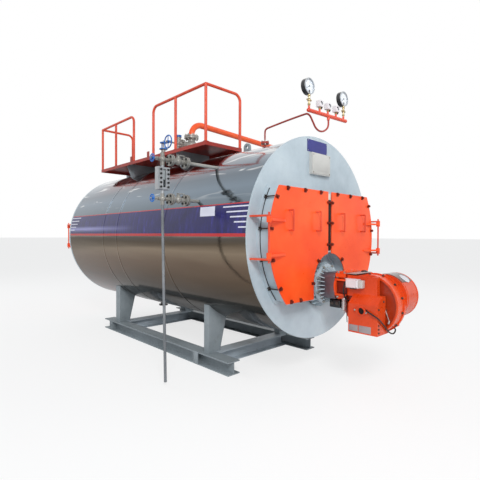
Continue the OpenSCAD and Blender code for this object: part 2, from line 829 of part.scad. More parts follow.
// Each ring's side is carried on from the one before, so that the tube does not twist.
function sides(p, i = 0, s = [], out = []) = i == len(p) ? out :
    let (d = heading(p, i), n = i == 0 ? side_of(d) : unit(s - d * (s * d)))
    sides(p, i + 1, n, concat(out, [n]));
module tube_along(p, r, n) {
    s = sides(p);
    rings = [for (i = [0:len(p) - 1]) let (d = heading(p, i), u = s[i], v = cross(d, u))
        for (k = [0:n - 1]) p[i] + r * (cos(360 * k / n) * u + sin(360 * k / n) * v)];
    m = len(p);
    polyhedron(rings, concat(
        [[for (k = [0:n - 1]) k]],
        [for (i = [0:m - 2]) for (k = [0:n - 1])
            let (a = i * n + k, b = i * n + (k + 1) % n) [a, a + n, b + n, b]],
        [[for (k = [n - 1:-1:0]) (m - 1) * n + k]]));
}
module gauge_pipe() {
    color("firebrick") from_front() {
        tube_along(smooth(siphon_points, siphon_steps), small_pipe_r, 12);
        translate([siphon_x, siphon_y, 0]) difference() {
            union() {
                along_z(riser_flange_z - 8, 24, 46);
                along_z(0, riser_flange_z, small_r);
            }
            translate([-siphon_x, 0, 0]) along_y(-front_r, 2 * front_r, drum_r);
        }
    }
}
gauge_x = [-131, 525];
switch_x = [57, 211, 370];
stub_r = 11;
stub_h = 46;
switch_up = 66;
module gauge_header() {
    color("firebrick") from_front() translate([0, header_y, 0]) {
        translate([header_x + header_l / 2, 0, header_z]) rotate([0, -header_rise, 0]) {
            along_x(-header_l / 2, header_l, header_r);
            for (s = [-1, 1]) translate([s * header_l / 2, 0, 0]) sphere(header_r);
        }
        for (x = concat(gauge_x, switch_x)) translate([x, 0, header_at(x)]) along_z(0, stub_h, stub_r);
        translate([riser_x, 0, 0]) along_z(riser_top, header_z - riser_top, stub_r + 5);
    }
}
gauge_up = 246;
gauge_t = 50;
gauge_back = 18;
cock_r = 13;
rim_depth = 7;
module pressure_gauges() {
    cock_l = gauge_up - gauge_d / 2 - stub_h;
    color("black") from_front() for (x = gauge_x) translate([x, header_y, header_at(x)]) {
        translate([0, gauge_back, gauge_up]) difference() {
            along_y(-gauge_t / 2, gauge_t, gauge_d / 2);
            along_y(-gauge_t / 2 - eps, rim_depth + eps, gauge_d / 2 - rim_depth);
        }
        along_z(stub_h, cock_l + gauge_d / 4, cock_r * 0.8);
        translate([0, 0, stub_h + cock_l / 2]) {
            along_x(-34, 68, cock_r * 0.7);
            sphere(cock_r * 1.5);
        }
        for (k = [0.12, 0.86]) rotate([0, 0, 30]) translate([0, 0, stub_h + cock_l * k - 7])
            cylinder(h = 14, r = cock_r * 1.35, $fn = 6);
    }
}
switch_size = [64, 56, 68];
module pressure_switches() {
    color("whitesmoke") from_front() for (x = switch_x) translate([x, header_y, header_at(x)]) {
        translate([-switch_size[0] / 2, -switch_size[1] / 2, switch_up]) cube(switch_size);
        along_z(stub_h, switch_up - stub_h + eps, stub_r + 3);
    }
}

/* The burner: neck, head, housing with air box, fan scroll and motor */
neck_front = -295;
head_front = -425;
head_half = 112;
head_ring_t = 18;
scroll_x = -110;
scroll_w = 130;
scroll_y = -651;
scroll_down = 604;
motor_y = -735;
motor_down = 540;
motor_l = 245;
housing_x = -165;
housing_top = -350;
box_x = -262;
intake_y = -656;
intake_z = -647;
intake_r = 30;
rim_t = 24;
boss_r = 14;
boss_angles = [-10, 18, 46, 74, 102, 130];
rim_out = 10;
module scroll_space(gap) {
    translate([0, scroll_y, -scroll_down]) {
        along_x(scroll_x - gap, scroll_w - rim_t / 2 + gap, scroll_d / 2 + gap);
        along_x(scroll_x + scroll_w - rim_t - gap, rim_t + 2 * gap, scroll_d / 2 + rim_out + gap);
    }
}
module burner_neck() {
    color("gray") from_front() translate([0, 0, -burner_down]) along_y(neck_front, ring_y - neck_front, neck_d / 2);
}
module burner_head() {
    color("orangered") from_front() difference() {
        union() {
            translate([0, 0, -burner_down]) along_y(neck_front - head_ring_t, head_ring_t, neck_d / 2 + 14);
            block([-118, head_front, -burner_down - head_half], [118, neck_front - head_ring_t + eps, -burner_down + 150]);
            block([-140, head_front, -burner_down + 100], [140, neck_front - head_ring_t + eps, -burner_down + 135]);
        }
        block([-200, head_front + 30, -burner_down - 80], [-90, neck_front - 30, -burner_down + 85]);
        scroll_space(seat);
    }
}
module burner_housing() {
    color("orangered") from_front() difference() {
        union() {
            block([housing_x, -751, -540], [scroll_x, -458, housing_top]);
            block([scroll_x - eps, -700, -420], [150, head_front, housing_top]);
            plate_y_box();
        }
        scroll_space(seat);
        motor_space(seat);
        translate([0, intake_y, intake_z]) along_x(box_x - eps, 60, intake_r);
    }
}
module plate_y_box() {
    translate([0, -803, 0]) rotate([90, 0, 0]) mirror([0, 0, 1]) linear_extrude(803 - 525)
        polygon([[box_x, -850], [-40, -850], [-40, -760], [scroll_x, -540], [scroll_x, -515], [housing_x, -515], [box_x, -590]]);
}
module burner_scroll() {
    color("orangered") from_front() difference() {
        scroll_space(0);
        translate([0, scroll_y, -scroll_down]) along_x(scroll_x - eps, 12, scroll_d / 2 - 22);
    }
    color("orangered") from_front() translate([0, scroll_y, -scroll_down]) for (a = boss_angles)
        rotate([a, 0, 0]) translate([0, 0, scroll_d / 2 + rim_out - 6])
            along_x(scroll_x + scroll_w - rim_t - 12, rim_t + 10, boss_r);
}
module motor_space(gap) {
    translate([0, motor_y, -motor_down]) along_x(scroll_x + scroll_w - gap, motor_l + gap, motor_d / 2 + gap);
}
module burner_motor() { color("orangered") from_front() motor_space(0); }
module burner_servo() {
    color("whitesmoke") from_front() block([housing_x - 60, -622, -462], [housing_x, -466, -378]);
}
module gas_valve() {
    color("dimgray") from_front() {
        block([-60, -372, -690], [50, neck_front - head_ring_t - seat, -burner_down - head_half]);
    }
}

/* Blow-down pipe under the shell */
module blowdown_pipe() {
    color("black") from_front() translate([0, blow_y, 0]) {
        difference() {
            translate([0, 0, -1090]) cylinder(h = 1090, r = nozzle_r);
            translate([0, -blow_y, 0]) along_y(blow_y - front_r, 2 * front_r, drum_r);
        }
        along_z(-1110, 20, 70);
    }
}

drum();
tube_plate();
furnace_mouth();
front_plate();
smokebox_collar();
cladding_front();
cladding_forward();
cladding_middle();
cladding_rear();
rear_plate();
rear_collar();
rear_doors();
flue_outlet();
hinge_bracket_left();
hinge_bracket_right();
front_door_left();
front_door_right();
door_lining_left();
door_lining_right();
door_handles_left();
door_handles_right();
door_clamps_left();
door_clamps_right();
nameplate();
sign_plate();
skid_beam_left();
skid_beam_right();
cross_beams();
front_legs();
rear_legs();
platform_deck();
platform_brackets();
guard_rail_rear();
guard_rail_front();
steam_valve();
steam_pipe();
safety_valve();
vent_valve();
handwheels();
lifting_eyes();
level_branches();
level_gauge();
level_drain();
gauge_pipe();
gauge_header();
pressure_gauges();
pressure_switches();
burner_neck();
burner_head();
burner_housing();
burner_scroll();
burner_motor();
burner_servo();
gas_valve();
blowdown_pipe();
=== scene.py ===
import math
import bmesh
import bpy
from mathutils import Matrix, Vector


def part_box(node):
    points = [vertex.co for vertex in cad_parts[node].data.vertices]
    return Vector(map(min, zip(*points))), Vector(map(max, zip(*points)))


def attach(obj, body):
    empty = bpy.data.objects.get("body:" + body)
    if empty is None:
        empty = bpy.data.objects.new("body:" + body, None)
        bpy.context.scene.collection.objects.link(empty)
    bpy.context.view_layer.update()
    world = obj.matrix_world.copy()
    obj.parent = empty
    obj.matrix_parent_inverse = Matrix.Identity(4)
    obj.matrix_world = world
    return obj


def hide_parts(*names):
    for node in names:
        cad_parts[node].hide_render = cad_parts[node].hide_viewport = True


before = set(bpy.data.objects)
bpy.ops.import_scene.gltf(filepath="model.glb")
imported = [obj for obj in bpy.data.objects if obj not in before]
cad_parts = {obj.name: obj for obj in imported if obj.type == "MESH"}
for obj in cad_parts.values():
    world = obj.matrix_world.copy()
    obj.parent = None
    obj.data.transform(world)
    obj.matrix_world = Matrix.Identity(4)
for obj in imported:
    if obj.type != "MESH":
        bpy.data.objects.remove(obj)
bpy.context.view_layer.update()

# The view: from the left of the boiler's front, at the height of the shell's axis, through a
# moderately wide lens. Places are given in millimetres from the front plate's face and from
# the shell's axis, and local() turns them into the frame's metres.
shell_low, shell_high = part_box("cladding_front")
axis_z = (shell_low[2] + shell_high[2]) / 2
clad_r = (shell_high[0] - shell_low[0]) / 2
plate_thick = 0.014
front_y = shell_low[1] - plate_thick


def local(x, y, z):
    """Millimetres from the front plate's face and the shell's axis, as a place in metres."""
    return Vector((x / 1000, y / 1000 + front_y, z / 1000 + axis_z))


camera_data = bpy.data.cameras.new("camera")
camera_data.lens = 28.72
camera_data.sensor_width = 36.0
camera = bpy.data.objects.new("camera", camera_data)
bpy.context.scene.collection.objects.link(camera)
yaw, pitch, roll = math.radians(43.68), math.radians(-0.70), math.radians(0.21)
camera.matrix_world = (
    Matrix.Translation(local(-3372.8, -2354.7, 18.2))
    @ Matrix.Rotation(-yaw, 4, "Z")
    @ Matrix.Rotation(math.pi / 2 + pitch, 4, "X")
    @ Matrix.Rotation(roll, 4, "Z")
)
bpy.context.scene.camera = camera
bpy.context.scene.view_settings.view_transform = "Standard"

# The studio: a plain pale floor, a white surround and soft lamps from the upper left and
# right. Polished steel sees the white surround; the floor keeps the boiler's soft shadow.


def plug(tree, made, inputs):
    """Sets or links a shader node's inputs."""
    for name, value in inputs.items():
        if isinstance(value, bpy.types.NodeSocket):
            tree.links.new(value, made.inputs[name])
        else:
            made.inputs[name].default_value = value


def linear(hex_colour):
    """An sRGB hex value as linear red, green, blue and alpha."""
    channels = [int(hex_colour[i:i + 2], 16) / 255 for i in (0, 2, 4)]
    return [c / 12.92 if c <= 0.04045 else ((c + 0.055) / 1.055) ** 2.4 for c in channels] + [1.0]


def node(tree, kind, inputs=None, stops=None, **options):
    """Adds a shader node with its options, colour stops and inputs, and gives its outputs."""
    made = tree.nodes.new("ShaderNode" + kind)
    for option, value in options.items():
        setattr(made, option, value)
    if stops:
        ramp = made.color_ramp
        while len(ramp.elements) > 1:
            ramp.elements.remove(ramp.elements[-1])
        ramp.elements[0].position = stops[0][0]
        ramp.elements[0].color = linear(stops[0][1])
        for place, colour in stops[1:]:
            ramp.elements.new(place).color = linear(colour)
    plug(tree, made, inputs or {})
    return made.outputs


def new_material(name):
    """A material with its node tree and its Principled shader."""
    material = bpy.data.materials.new(name)
    material.use_nodes = True
    return material, material.node_tree, material.node_tree.nodes["Principled BSDF"]


world = bpy.data.worlds.new("white surround")
world.use_nodes = True
bpy.context.scene.world = world
sky = world.node_tree
rays = node(sky, "LightPath")
seen = rays["Is Camera Ray"]
for ray in ("Is Glossy Ray", "Is Transmission Ray"):
    seen = node(sky, "Math", {0: seen, 1: rays[ray]}, operation="MAXIMUM")[0]
dim = node(sky, "Background", {"Color": linear("eef2f6"), "Strength": 0.54})[0]
white = node(sky, "Background", {"Color": linear("ffffff"), "Strength": 1.0})[0]
both = node(sky, "MixShader", {0: seen, 1: dim, 2: white})[0]
sky.links.new(both, sky.nodes["World Output"].inputs["Surface"])

bpy.ops.object.select_all(action="DESELECT")
bpy.ops.mesh.primitive_plane_add(size=400, location=(0, 2, 0))
floor = bpy.context.object
floor.name = "floor"
floor_paint, tree, shader = new_material("white studio floor")
grain = node(tree, "TexNoise", {"Scale": 3.0, "Detail": 3.0})["Fac"]
tone = node(tree, "ValToRGB", {"Fac": grain}, stops=((0.3, "f2f2f2"), (0.7, "f6f6f6")))[0]
plug(tree, shader, {"Base Color": tone, "Roughness": 0.9, "Specular IOR Level": 0.1})
camera_ray = node(tree, "LightPath")["Is Camera Ray"]
seen = node(tree, "Math", {0: camera_ray, 1: 0.72}, operation="MULTIPLY")[0]
glow = node(tree, "Emission", {"Color": linear("ffffff"), "Strength": 1.0})[0]
lit = node(tree, "MixShader", {0: seen, 1: shader.outputs[0], 2: glow})[0]
tree.links.new(lit, tree.nodes["Material Output"].inputs["Surface"])
floor.data.materials.append(floor_paint)

lamp_aim = Vector((0, 1.0, 1.2))
for name, place, power, size in (
    ("key lamp", (-5.5, -6.5, 6.5), 560.0, 2.6),
    ("fill lamp", (6.5, -5.0, 5.0), 160.0, 5.0),
    ("back lamp", (-4.0, 8.0, 6.0), 160.0, 5.0),
):
    lamp_data = bpy.data.lights.new(name, "AREA")
    lamp_data.size = size
    lamp_data.energy = power
    lamp = bpy.data.objects.new(name, lamp_data)
    bpy.context.scene.collection.objects.link(lamp)
    lamp.location = place
    lamp.rotation_euler = (lamp_aim - lamp.location).to_track_quat("-Z", "Y").to_euler()
    lamp.visible_glossy = name == "key lamp"

# The lagged shell's skin: polished stainless sheet in rolled courses, with a vinyl livery band
# along each side. Its colour holds painted reflections: long soft bands, cool grey above and brown
# below, with painted glints on its shoulder; slow dents are a bump. The film is darker and duller.


def dress(material, *names):
    """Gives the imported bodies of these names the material."""
    for name in names:
        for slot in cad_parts[name].material_slots:
            slot.material = material


def between(tree, value, low, high):
    """1 where value lies between low and high, else 0."""
    above = node(tree, "Math", {0: value, 1: low}, operation="GREATER_THAN")[0]
    below = node(tree, "Math", {0: value, 1: high}, operation="LESS_THAN")[0]
    return node(tree, "Math", {0: above, 1: below}, operation="MULTIPLY")[0]


steel, tree, shader = new_material("polished stainless sheet with vinyl band")
place = node(tree, "TexCoord")["Object"]
centred = node(tree, "VectorMath", {0: place, 1: local(0, 0, 0)}, operation="SUBTRACT")[0]
part = node(tree, "SeparateXYZ", {0: centred})
height = node(tree, "Math", {0: part["Z"], 1: clad_r}, operation="DIVIDE")[0]
long_grain = node(tree, "Mapping", {"Vector": centred, "Scale": (1.0, 0.35, 3.2)})[0]
waves = node(tree, "TexNoise", {"Vector": long_grain, "Scale": 1.3, "Detail": 3.0, "Distortion": 0.6})["Fac"]
sway = node(tree, "MapRange", {"Value": waves, "To Min": -0.08, "To Max": 0.08})[0]
seen_height = node(tree, "Math", {0: height, 1: sway}, operation="ADD")[0]
level = node(tree, "MapRange", {"Value": seen_height, "From Min": -1.0, "From Max": 1.0})[0]
# Painted reflections: the sheet's colour is a ramp by height, dark brown below and cool grey above, swayed by
# slow noise.
mirror = node(tree, "ValToRGB", {"Fac": level}, stops=(
    (0.00, "3c3a38"), (0.12, "4c4742"), (0.21, "584d42"), (0.28, "69594a"), (0.36, "7a6858"),
    (0.43, "978672"), (0.47, "7c6d5c"), (0.50, "7c746c"), (0.66, "747f88"), (0.74, "7f8c98"),
    (0.80, "6e7882"), (0.86, "86919c"), (0.93, "939da6"), (1.00, "a6aeb4")))[0]
# A painted reflection of the platform's underside lies on the crown before it as a dull red patch.
painted_platform_reflection = node(tree, "MapRange", {"Value": seen_height, "From Min": 0.60, "From Max": 0.74})[0]
rise = node(tree, "MapRange", {"Value": part["Y"], "From Min": 0.3, "From Max": 1.5})[0]
fall = node(tree, "MapRange", {"Value": part["Y"], "From Min": 3.9, "From Max": 3.2})[0]
for share in (rise, fall, 0.75):
    painted_platform_reflection = node(tree, "Math", {0: painted_platform_reflection, 1: share}, operation="MULTIPLY")[0]
mirror = node(tree, "MixRGB", {"Fac": painted_platform_reflection, "Color1": mirror, "Color2": linear("6e403e")})[0]
# Painted glints: pale near-white streaks mixed into the sheet's colour on its upper side.
painted_glints = node(tree, "TexNoise", {"Vector": long_grain, "Scale": 3.4, "Detail": 2.0, "Distortion": 1.2})["Fac"]
painted_glints = node(tree, "MapRange", {"Value": painted_glints, "From Min": 0.60, "From Max": 0.68})[0]
upper = node(tree, "MapRange", {"Value": height, "From Min": 0.36, "From Max": 0.5})[0]
for share in (upper, 0.65):
    painted_glints = node(tree, "Math", {0: painted_glints, 1: share}, operation="MULTIPLY")[0]
mirror = node(tree, "MixRGB", {"Fac": painted_glints, "Color1": mirror, "Color2": linear("f0f1f0")})[0]

band_low, band_high = 0.006, 0.318
band = between(tree, part["Z"], band_low, band_high)
crinkle = node(tree, "Mapping", {"Vector": centred, "Scale": (1.0, 6.0, 1.0)})[0]
crinkle = node(tree, "TexNoise", {"Vector": crinkle, "Scale": 4.0, "Detail": 6.0, "Roughness": 0.7})["Fac"]
film = node(tree, "ValToRGB", {"Fac": crinkle}, stops=(
    (0.3, "120e46"), (0.52, "1a1758"), (0.66, "2c287a"), (0.8, "6c6ab0")))[0]
# A painted sheen, a pale highlight, lies along the film's lower third, on its rear half.
painted_sheen = part["Z"]
for operation, value in (("SUBTRACT", 0.105), ("ABSOLUTE", 0.0)):
    painted_sheen = node(tree, "Math", {0: painted_sheen, 1: value}, operation=operation)[0]
painted_sheen = node(tree, "MapRange", {"Value": painted_sheen, "From Min": 0.045, "From Max": 0.0})[0]
far_half = node(tree, "MapRange", {"Value": part["Y"], "From Min": 2.0, "From Max": 3.4})[0]
painted_sheen = node(tree, "Math", {0: painted_sheen, 1: far_half}, operation="MULTIPLY")[0]
film = node(tree, "MixRGB", {"Fac": painted_sheen, "Color1": film, "Color2": linear("8f8fc4")})[0]

stripe_top, stripe_pitch, stripe_half = 0.284, 0.048, 0.0065
stripe = 0.0
for i in range(5):
    z = stripe_top - i * stripe_pitch
    row = between(tree, part["Z"], z - stripe_half, z + stripe_half)
    near = between(tree, part["Y"], 0.0, 0.381 - 0.061 * i)
    far = between(tree, part["Y"], 3.82 + 0.045 * i, 4.3)
    ends = node(tree, "Math", {0: near, 1: far}, operation="MAXIMUM")[0]
    row = node(tree, "Math", {0: row, 1: ends}, operation="MULTIPLY")[0]
    stripe = node(tree, "Math", {0: stripe, 1: row}, operation="ADD")[0]
lean = node(tree, "Math", {0: part["Z"], 1: -0.25, 2: part["Y"]}, operation="MULTIPLY_ADD")[0]
panel = between(tree, lean, 0.43, 0.66)
panel_rows = between(tree, part["Z"], 0.205, 0.300)
panel = node(tree, "Math", {0: panel, 1: panel_rows}, operation="MULTIPLY")[0]
pale = node(tree, "Math", {0: stripe, 1: panel}, operation="MAXIMUM")[0]
top_edge = between(tree, part["Z"], band_high - 0.010, band_high)
low_edge = between(tree, part["Z"], band_low, band_low + 0.030)
edges = node(tree, "Math", {0: top_edge, 1: low_edge}, operation="MAXIMUM")[0]
for share, colour in ((pale, "d3d4e2"), (edges, "b8282c")):
    film = node(tree, "MixRGB", {"Fac": share, "Color1": film, "Color2": linear(colour)})[0]
surface = node(tree, "MixRGB", {"Fac": band, "Color1": mirror, "Color2": film})[0]
metal = node(tree, "Math", {0: 1.0, 1: band}, operation="SUBTRACT")[0]
scuffs = node(tree, "TexNoise", {"Vector": centred, "Scale": 30.0, "Detail": 6.0})["Fac"]
gloss = node(tree, "MapRange", {"Value": scuffs, "To Min": 0.06, "To Max": 0.16})[0]
film_gloss = (0.28, 0.28, 0.28, 1)
gloss = node(tree, "MixRGB", {"Fac": band, "Color1": gloss, "Color2": film_gloss})[0]
dents = node(tree, "TexNoise", {"Vector": long_grain, "Scale": 2.2, "Detail": 2.0})["Fac"]
bump = node(tree, "Bump", {"Strength": 0.12, "Distance": 0.02, "Height": dents})[0]
plug(tree, shader, {"Base Color": surface, "Metallic": metal, "Roughness": gloss, "Normal": bump})
dress(steel, "cladding_front", "cladding_forward", "cladding_middle", "cladding_rear")

# The courses' joints: each later sheet laps over the one before by 30 mm, as a rolled hoop
# with a rounded edge, and thin round plates cover the holes round the nozzles.
forward, rearward = (0, -1, 0), (0, 1, 0)
leftward, rightward = (-1, 0, 0), (1, 0, 0)
upward, downward = (0, 0, 1), (0, 0, -1)


def rest():
    """Leaves edit mode and selects nothing."""
    if bpy.context.object and bpy.context.object.mode != "OBJECT":
        bpy.ops.object.mode_set(mode="OBJECT")
    bpy.ops.object.select_all(action="DESELECT")


def begin(kind, **size):
    """Adds a primitive at its size and place, with nothing else selected."""
    rest()
    getattr(bpy.ops.mesh, "primitive_" + kind + "_add")(**size)
    return bpy.context.object


def only(piece):
    """Selects this piece alone, in object mode."""
    rest()
    piece.select_set(True)
    bpy.context.view_layer.objects.active = piece


def pick(piece, wanted, kind="FACE"):
    """In edit mode, selects the faces or edges whose middle and normal or run pass the test."""
    only(piece)
    bpy.ops.object.mode_set(mode="EDIT")
    bpy.ops.mesh.select_mode(type=kind)
    bpy.ops.mesh.select_all(action="DESELECT")
    shape = bmesh.from_edit_mesh(piece.data)
    if kind == "FACE":
        for face in shape.faces:
            face.select_set(wanted(face.calc_center_median(), face.normal))
    else:
        for edge in shape.edges:
            start, end = (corner.co for corner in edge.verts)
            edge.select_set(wanted((start + end) / 2, (end - start).normalized()))
    bmesh.update_edit_mesh(piece.data)


def soften(piece, wanted, width, segments=2):
    """Rounds the edges that pass the test, by this many millimetres."""
    pick(piece, wanted, "EDGE")
    bpy.ops.mesh.bevel(offset=width / 1000, segments=segments, affect="EDGES")


def applied(piece):
    """Puts the piece's place, turn and size into its mesh."""
    only(piece)
    bpy.ops.object.transform_apply(location=True, rotation=True, scale=True)


def done(piece, name, material, body="boiler"):
    """Fixes the piece's place in its mesh, smooths it, names it and hands it to its body."""
    applied(piece)
    bpy.ops.object.shade_smooth_by_angle(angle=math.radians(35))
    piece.name = name
    piece.data.materials.clear()
    piece.data.materials.append(material)
    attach(piece, body)
    return piece


def facing(axis, x, y, z):
    """The place at local millimetres, with its Z turned to the axis."""
    turn = Vector(upward).rotation_difference(Vector(axis))
    return Matrix.Translation(local(x, y, z)) @ turn.to_matrix().to_4x4()


def joined(pieces):
    """Joins the pieces into the first one."""
    only(pieces[0])
    for piece in pieces:
        piece.select_set(True)
    bpy.ops.object.join()
    return pieces[0]


def copies(piece, places):
    """Copies the piece to each place, each with its own mesh, and joins the copies."""
    made = []
    for place in places:
        only(piece)
        bpy.ops.object.duplicate()
        bpy.context.object.matrix_world = place
        made.append(bpy.context.object)
    bpy.data.objects.remove(piece)
    return joined(made)


def placed(name, piece, places, material, body="boiler"):
    """Copies of the piece at these places, as one finished piece."""
    done(copies(piece, places), name, material, body)


def ring(outer, inner, thick, sides=48, edge=0.0):
    """A flat ring from a disc, in millimetres: its middle is inset and cut through."""
    disc = begin("cylinder", vertices=sides, radius=outer / 1000, depth=thick / 1000)
    if edge:
        soften(disc, lambda at, run: at.xy.length > outer * 0.0009 and abs(run.z) < 0.5, edge)
    pick(disc, lambda at, normal: abs(normal.z) > 0.99 and at.xy.length < outer * 0.0005)
    bpy.ops.mesh.inset(thickness=(outer - inner - edge) / 1000)
    bpy.ops.mesh.bridge_edge_loops()
    return disc


laps = [facing(rearward, 0, y, 0) for y in (1370, 2515, 2935)]
placed("cladding_lap_hoops", ring(1024.7, 1021.5, 30, 160, 0.6), laps, steel)

lagging_r, nozzle_x = 1023, 115
stop_y, safety_y, vent_y = 2372, 2709, 3150
nozzle_z = math.sqrt(lagging_r ** 2 - nozzle_x ** 2)
outward = (nozzle_x / lagging_r, 0, nozzle_z / lagging_r)
covers = [facing(outward, nozzle_x, y, nozzle_z + 1.5) for y in (stop_y, safety_y, vent_y)]
placed("nozzle_cover_plates", ring(78, 47, 4, edge=1), covers, steel)

# The front plate, its spool, the smokebox collars and the rear end: rolled steel plate,
# sprayed in a grey-blue machine enamel that shows slow drifts of tone and some dust.


def weathered(name, tones, grime="5a5048", roughness=0.35, dirt=0.35, coat=0.15, metallic=0.0):
    """A finish of a mid, a dark and a light tone: drifts 0.4 m wide, dust in patches of 70 mm,
    and a peel or grain of 4 mm, which is drawn coarser than the real one so that it shows."""
    colour, shade, light = tones.split()
    material, tree, shader = new_material(name)
    place = node(tree, "TexCoord")["Object"]
    drift = node(tree, "TexNoise", {"Vector": place, "Scale": 2.4, "Detail": 4.0, "Roughness": 0.6})["Fac"]
    tone = node(tree, "ValToRGB", {"Fac": drift}, stops=((0.28, shade), (0.5, colour), (0.74, light)))[0]
    dust = node(tree, "TexNoise", {"Vector": place, "Scale": 14.0, "Detail": 9.0, "Roughness": 0.72})["Fac"]
    patch = node(tree, "MapRange", {"Value": dust, "From Min": 0.56, "From Max": 0.80, "To Max": dirt})[0]
    tone = node(tree, "MixRGB", {"Fac": patch, "Color1": tone, "Color2": linear(grime)})[0]
    peel = node(tree, "TexNoise", {"Vector": place, "Scale": 250.0, "Detail": 2.0})["Fac"]
    bump = node(tree, "Bump", {"Strength": 0.10, "Distance": 0.002, "Height": peel})[0]
    low, high = roughness - 0.08, roughness + 0.14
    gloss = node(tree, "MapRange", {"Value": dust, "To Min": low, "To Max": high})[0]
    plug(tree, shader, {"Base Color": tone, "Roughness": gloss, "Normal": bump, "Metallic": metallic,
                        "Coat Weight": coat, "Coat Roughness": 0.2,
                        "Specular IOR Level": 0.5 if metallic else 0.3})
    return material


front_enamel = weathered("grey-blue machine enamel", "b2c0c8 a3b1ba bfccd2", roughness=0.34, dirt=0.12)
dress(front_enamel, "front_plate", "smokebox_collar", "rear_plate", "rear_collar", "flue_outlet")

# The burner's adapter on the spool: a dull aluminium casting with a collar round the blast
# tube and radial gussets, packed with a ring of dark rope whose darkness is also painted shade
# between the gussets, held by eight zinc-plated nuts on studs.


def block(size, middle, **turn):
    """A cube drawn out to its size in millimetres, with its origin in its middle."""
    made = begin("cube", size=1.0, scale=[side / 1000 for side in size], location=middle, **turn)
    only(made)
    bpy.ops.object.transform_apply(location=False, rotation=False, scale=True)
    return made


burner_z = -478
cast_alu = weathered("as-cast aluminium", "a9a9a8 8b8c8d c6c6c4", "4c4642", 0.42, 0.5, 0.0, 0.55)
hub = [facing(forward, 0, -131, burner_z)]
placed("burner_adapter_plate", ring(176, 133, 12, edge=3), hub, cast_alu)
gusset_middle = Vector((0.184, 0, 0.0995))
gusset = block((112, 7, 171), gusset_middle)
pick(gusset, lambda at, normal: True)
bpy.ops.mesh.bisect(plane_co=(0.240, 0, 0.050), plane_no=(0.135, 0, 0.090), use_fill=True, clear_outer=True)
soften(gusset, lambda at, run: abs(run.y) < 0.5, 1.5, 1)
spool_face = facing(forward, 0, 0, burner_z)
turns = [spool_face @ Matrix.Rotation(math.radians(15 * i), 4, "Z") for i in range(24)]
spokes = [turn @ Matrix.Translation(gusset_middle) for turn in turns]
placed("burner_adapter_ribs", gusset, spokes, front_enamel)
# The rope ring's dark colour also serves as painted shade between the gussets.
rope = weathered("rope packing with painted shade", "54524e 403e3a 6c6a64", "2c2a28", 0.8, 0.6, 0.0)
packing = [facing(forward, 0, -14, burner_z)]
placed("burner_adapter_packing_shade", ring(239, 177, 3, 64, 0.5), packing, rope)


def nut_on_stud(across, thick, stud):
    """A hex nut with chamfered corners, and the stud's end standing out, in millimetres."""
    chamfer = across * 0.06
    across, thick, stud = across / 1000, thick / 1000, stud / 1000
    nut = begin("cylinder", vertices=6, radius=across / 3 ** 0.5, depth=thick * 0.86,
                location=(0, 0, thick * 0.43))
    applied(nut)
    pick(nut, lambda at, normal: normal.z > 0.9)
    bpy.ops.mesh.inset(thickness=across * 0.07, depth=thick * 0.14)
    end = begin("cylinder", vertices=10, radius=across * 0.30, depth=stud + 0.002,
                location=(0, 0, thick + stud / 2 - 0.001))
    soften(end, lambda at, run: at.z > 0 and abs(run.z) < 0.5, chamfer, 1)
    return joined([nut, end])


def bolt_circle(middle, radius, count, first=0.0):
    """Places on a circle round the middle, in millimetres, all facing as it does."""
    turns = [Matrix.Rotation(math.radians(first + 360 * i / count), 4, "Z") for i in range(count)]
    return [middle @ turn @ Matrix.Translation((radius / 1000, 0, 0)) for turn in turns]


zinc = weathered("zinc-plated steel", "a2a09a 85837e bdbbb4", "5a5046", 0.36, 0.5, 0.0, 0.6)


def nuts(name, size, places, material=zinc, body="boiler"):
    """Nuts on their studs at these places, as one piece."""
    placed(name, nut_on_stud(*size), places, material, body)


nuts("burner_adapter_nuts", (22, 14, 12), bolt_circle(facing(forward, 0, -125, burner_z), 190, 8, 22.5))

# The smokebox doors with their straps, handles and clamps: pressed steel in a bright orange
# gloss enamel, with clamps of dark scaled iron. Pale dull ceramic fibre board lines the backs.
orange = weathered("orange gloss enamel", "fc5620 f44a18 ff642c", "c04418", 0.28, 0.12, 0.12)
dress(orange, "front_door_left", "front_door_right", "rear_doors")
clamp_iron = weathered("dark scaled iron", "6a2014 46160e 88301e", "1c1412", 0.5, 0.6, 0.0)
dress(clamp_iron, "door_clamps_left", "door_clamps_right")
lining = weathered("ceramic fibre board", "d8d2c4 c8c0b0 e4dfd4", "6a6258", 0.9, 0.5, 0.0)
dress(lining, "door_lining_left", "door_lining_right")

# The joint between the doors: a dull black graphited rope lies on the mullion, with a bare
# white length at its top, and three studs with dogs stand in the gap. Hooks sit on the
# doors' edges beside them.


def rounded(low, high, edge, segments=2):
    """A block between two corners in local millimetres, with its edges rounded."""
    made = block([abs(b - a) for a, b in zip(low, high)], (local(*low) + local(*high)) / 2)
    soften(made, lambda at, run: True, edge, segments)
    return made


def bar(name, low, high, edge, material, segments=2):
    """A rounded block as a finished piece of the boiler."""
    done(rounded(low, high, edge, segments), name, material)


graphite = weathered("graphited rope", "1c1413 120d0c 2c201c", "3c2018", 0.8, 0.4, 0.0)
bar("door_joint_seal", (-8, -134, -136), (48, -127.5, 384), 2.4, graphite)
bar("door_joint_seal_top", (0, -134, 385), (40, -127.5, 446), 2.4, lining)
stud_heights = (357, 148, -72)
dog = nut_on_stud(24, 14, 10)
shank = begin("cylinder", vertices=12, radius=0.008, depth=0.032, location=(0, 0, -0.015))
strap = block((46, 20, 8), (0, 0, -0.004))
dogs = [facing(forward, 20, -160, z) for z in stud_heights]
placed("door_joint_dogs", joined([dog, shank, strap]), dogs, clamp_iron)
for side, edge_x in (("left", -23), ("right", 63)):
    hooks = [facing(forward, edge_x, -143, z) for z in stud_heights]
    nuts("door_edge_hooks_" + side, (26, 12, 8), hooks, clamp_iron, "front_door_" + side)

# The swing bolts behind the doors' curved edges: brown-black forged rods, hinged on small
# lugs at the collar's root flange. A bead of dark mastic closes the collar's root.
forged = weathered("dark forged steel", "3f3733 2a2422 584c46", "6a4a38", 0.5, 0.5, 0.0)


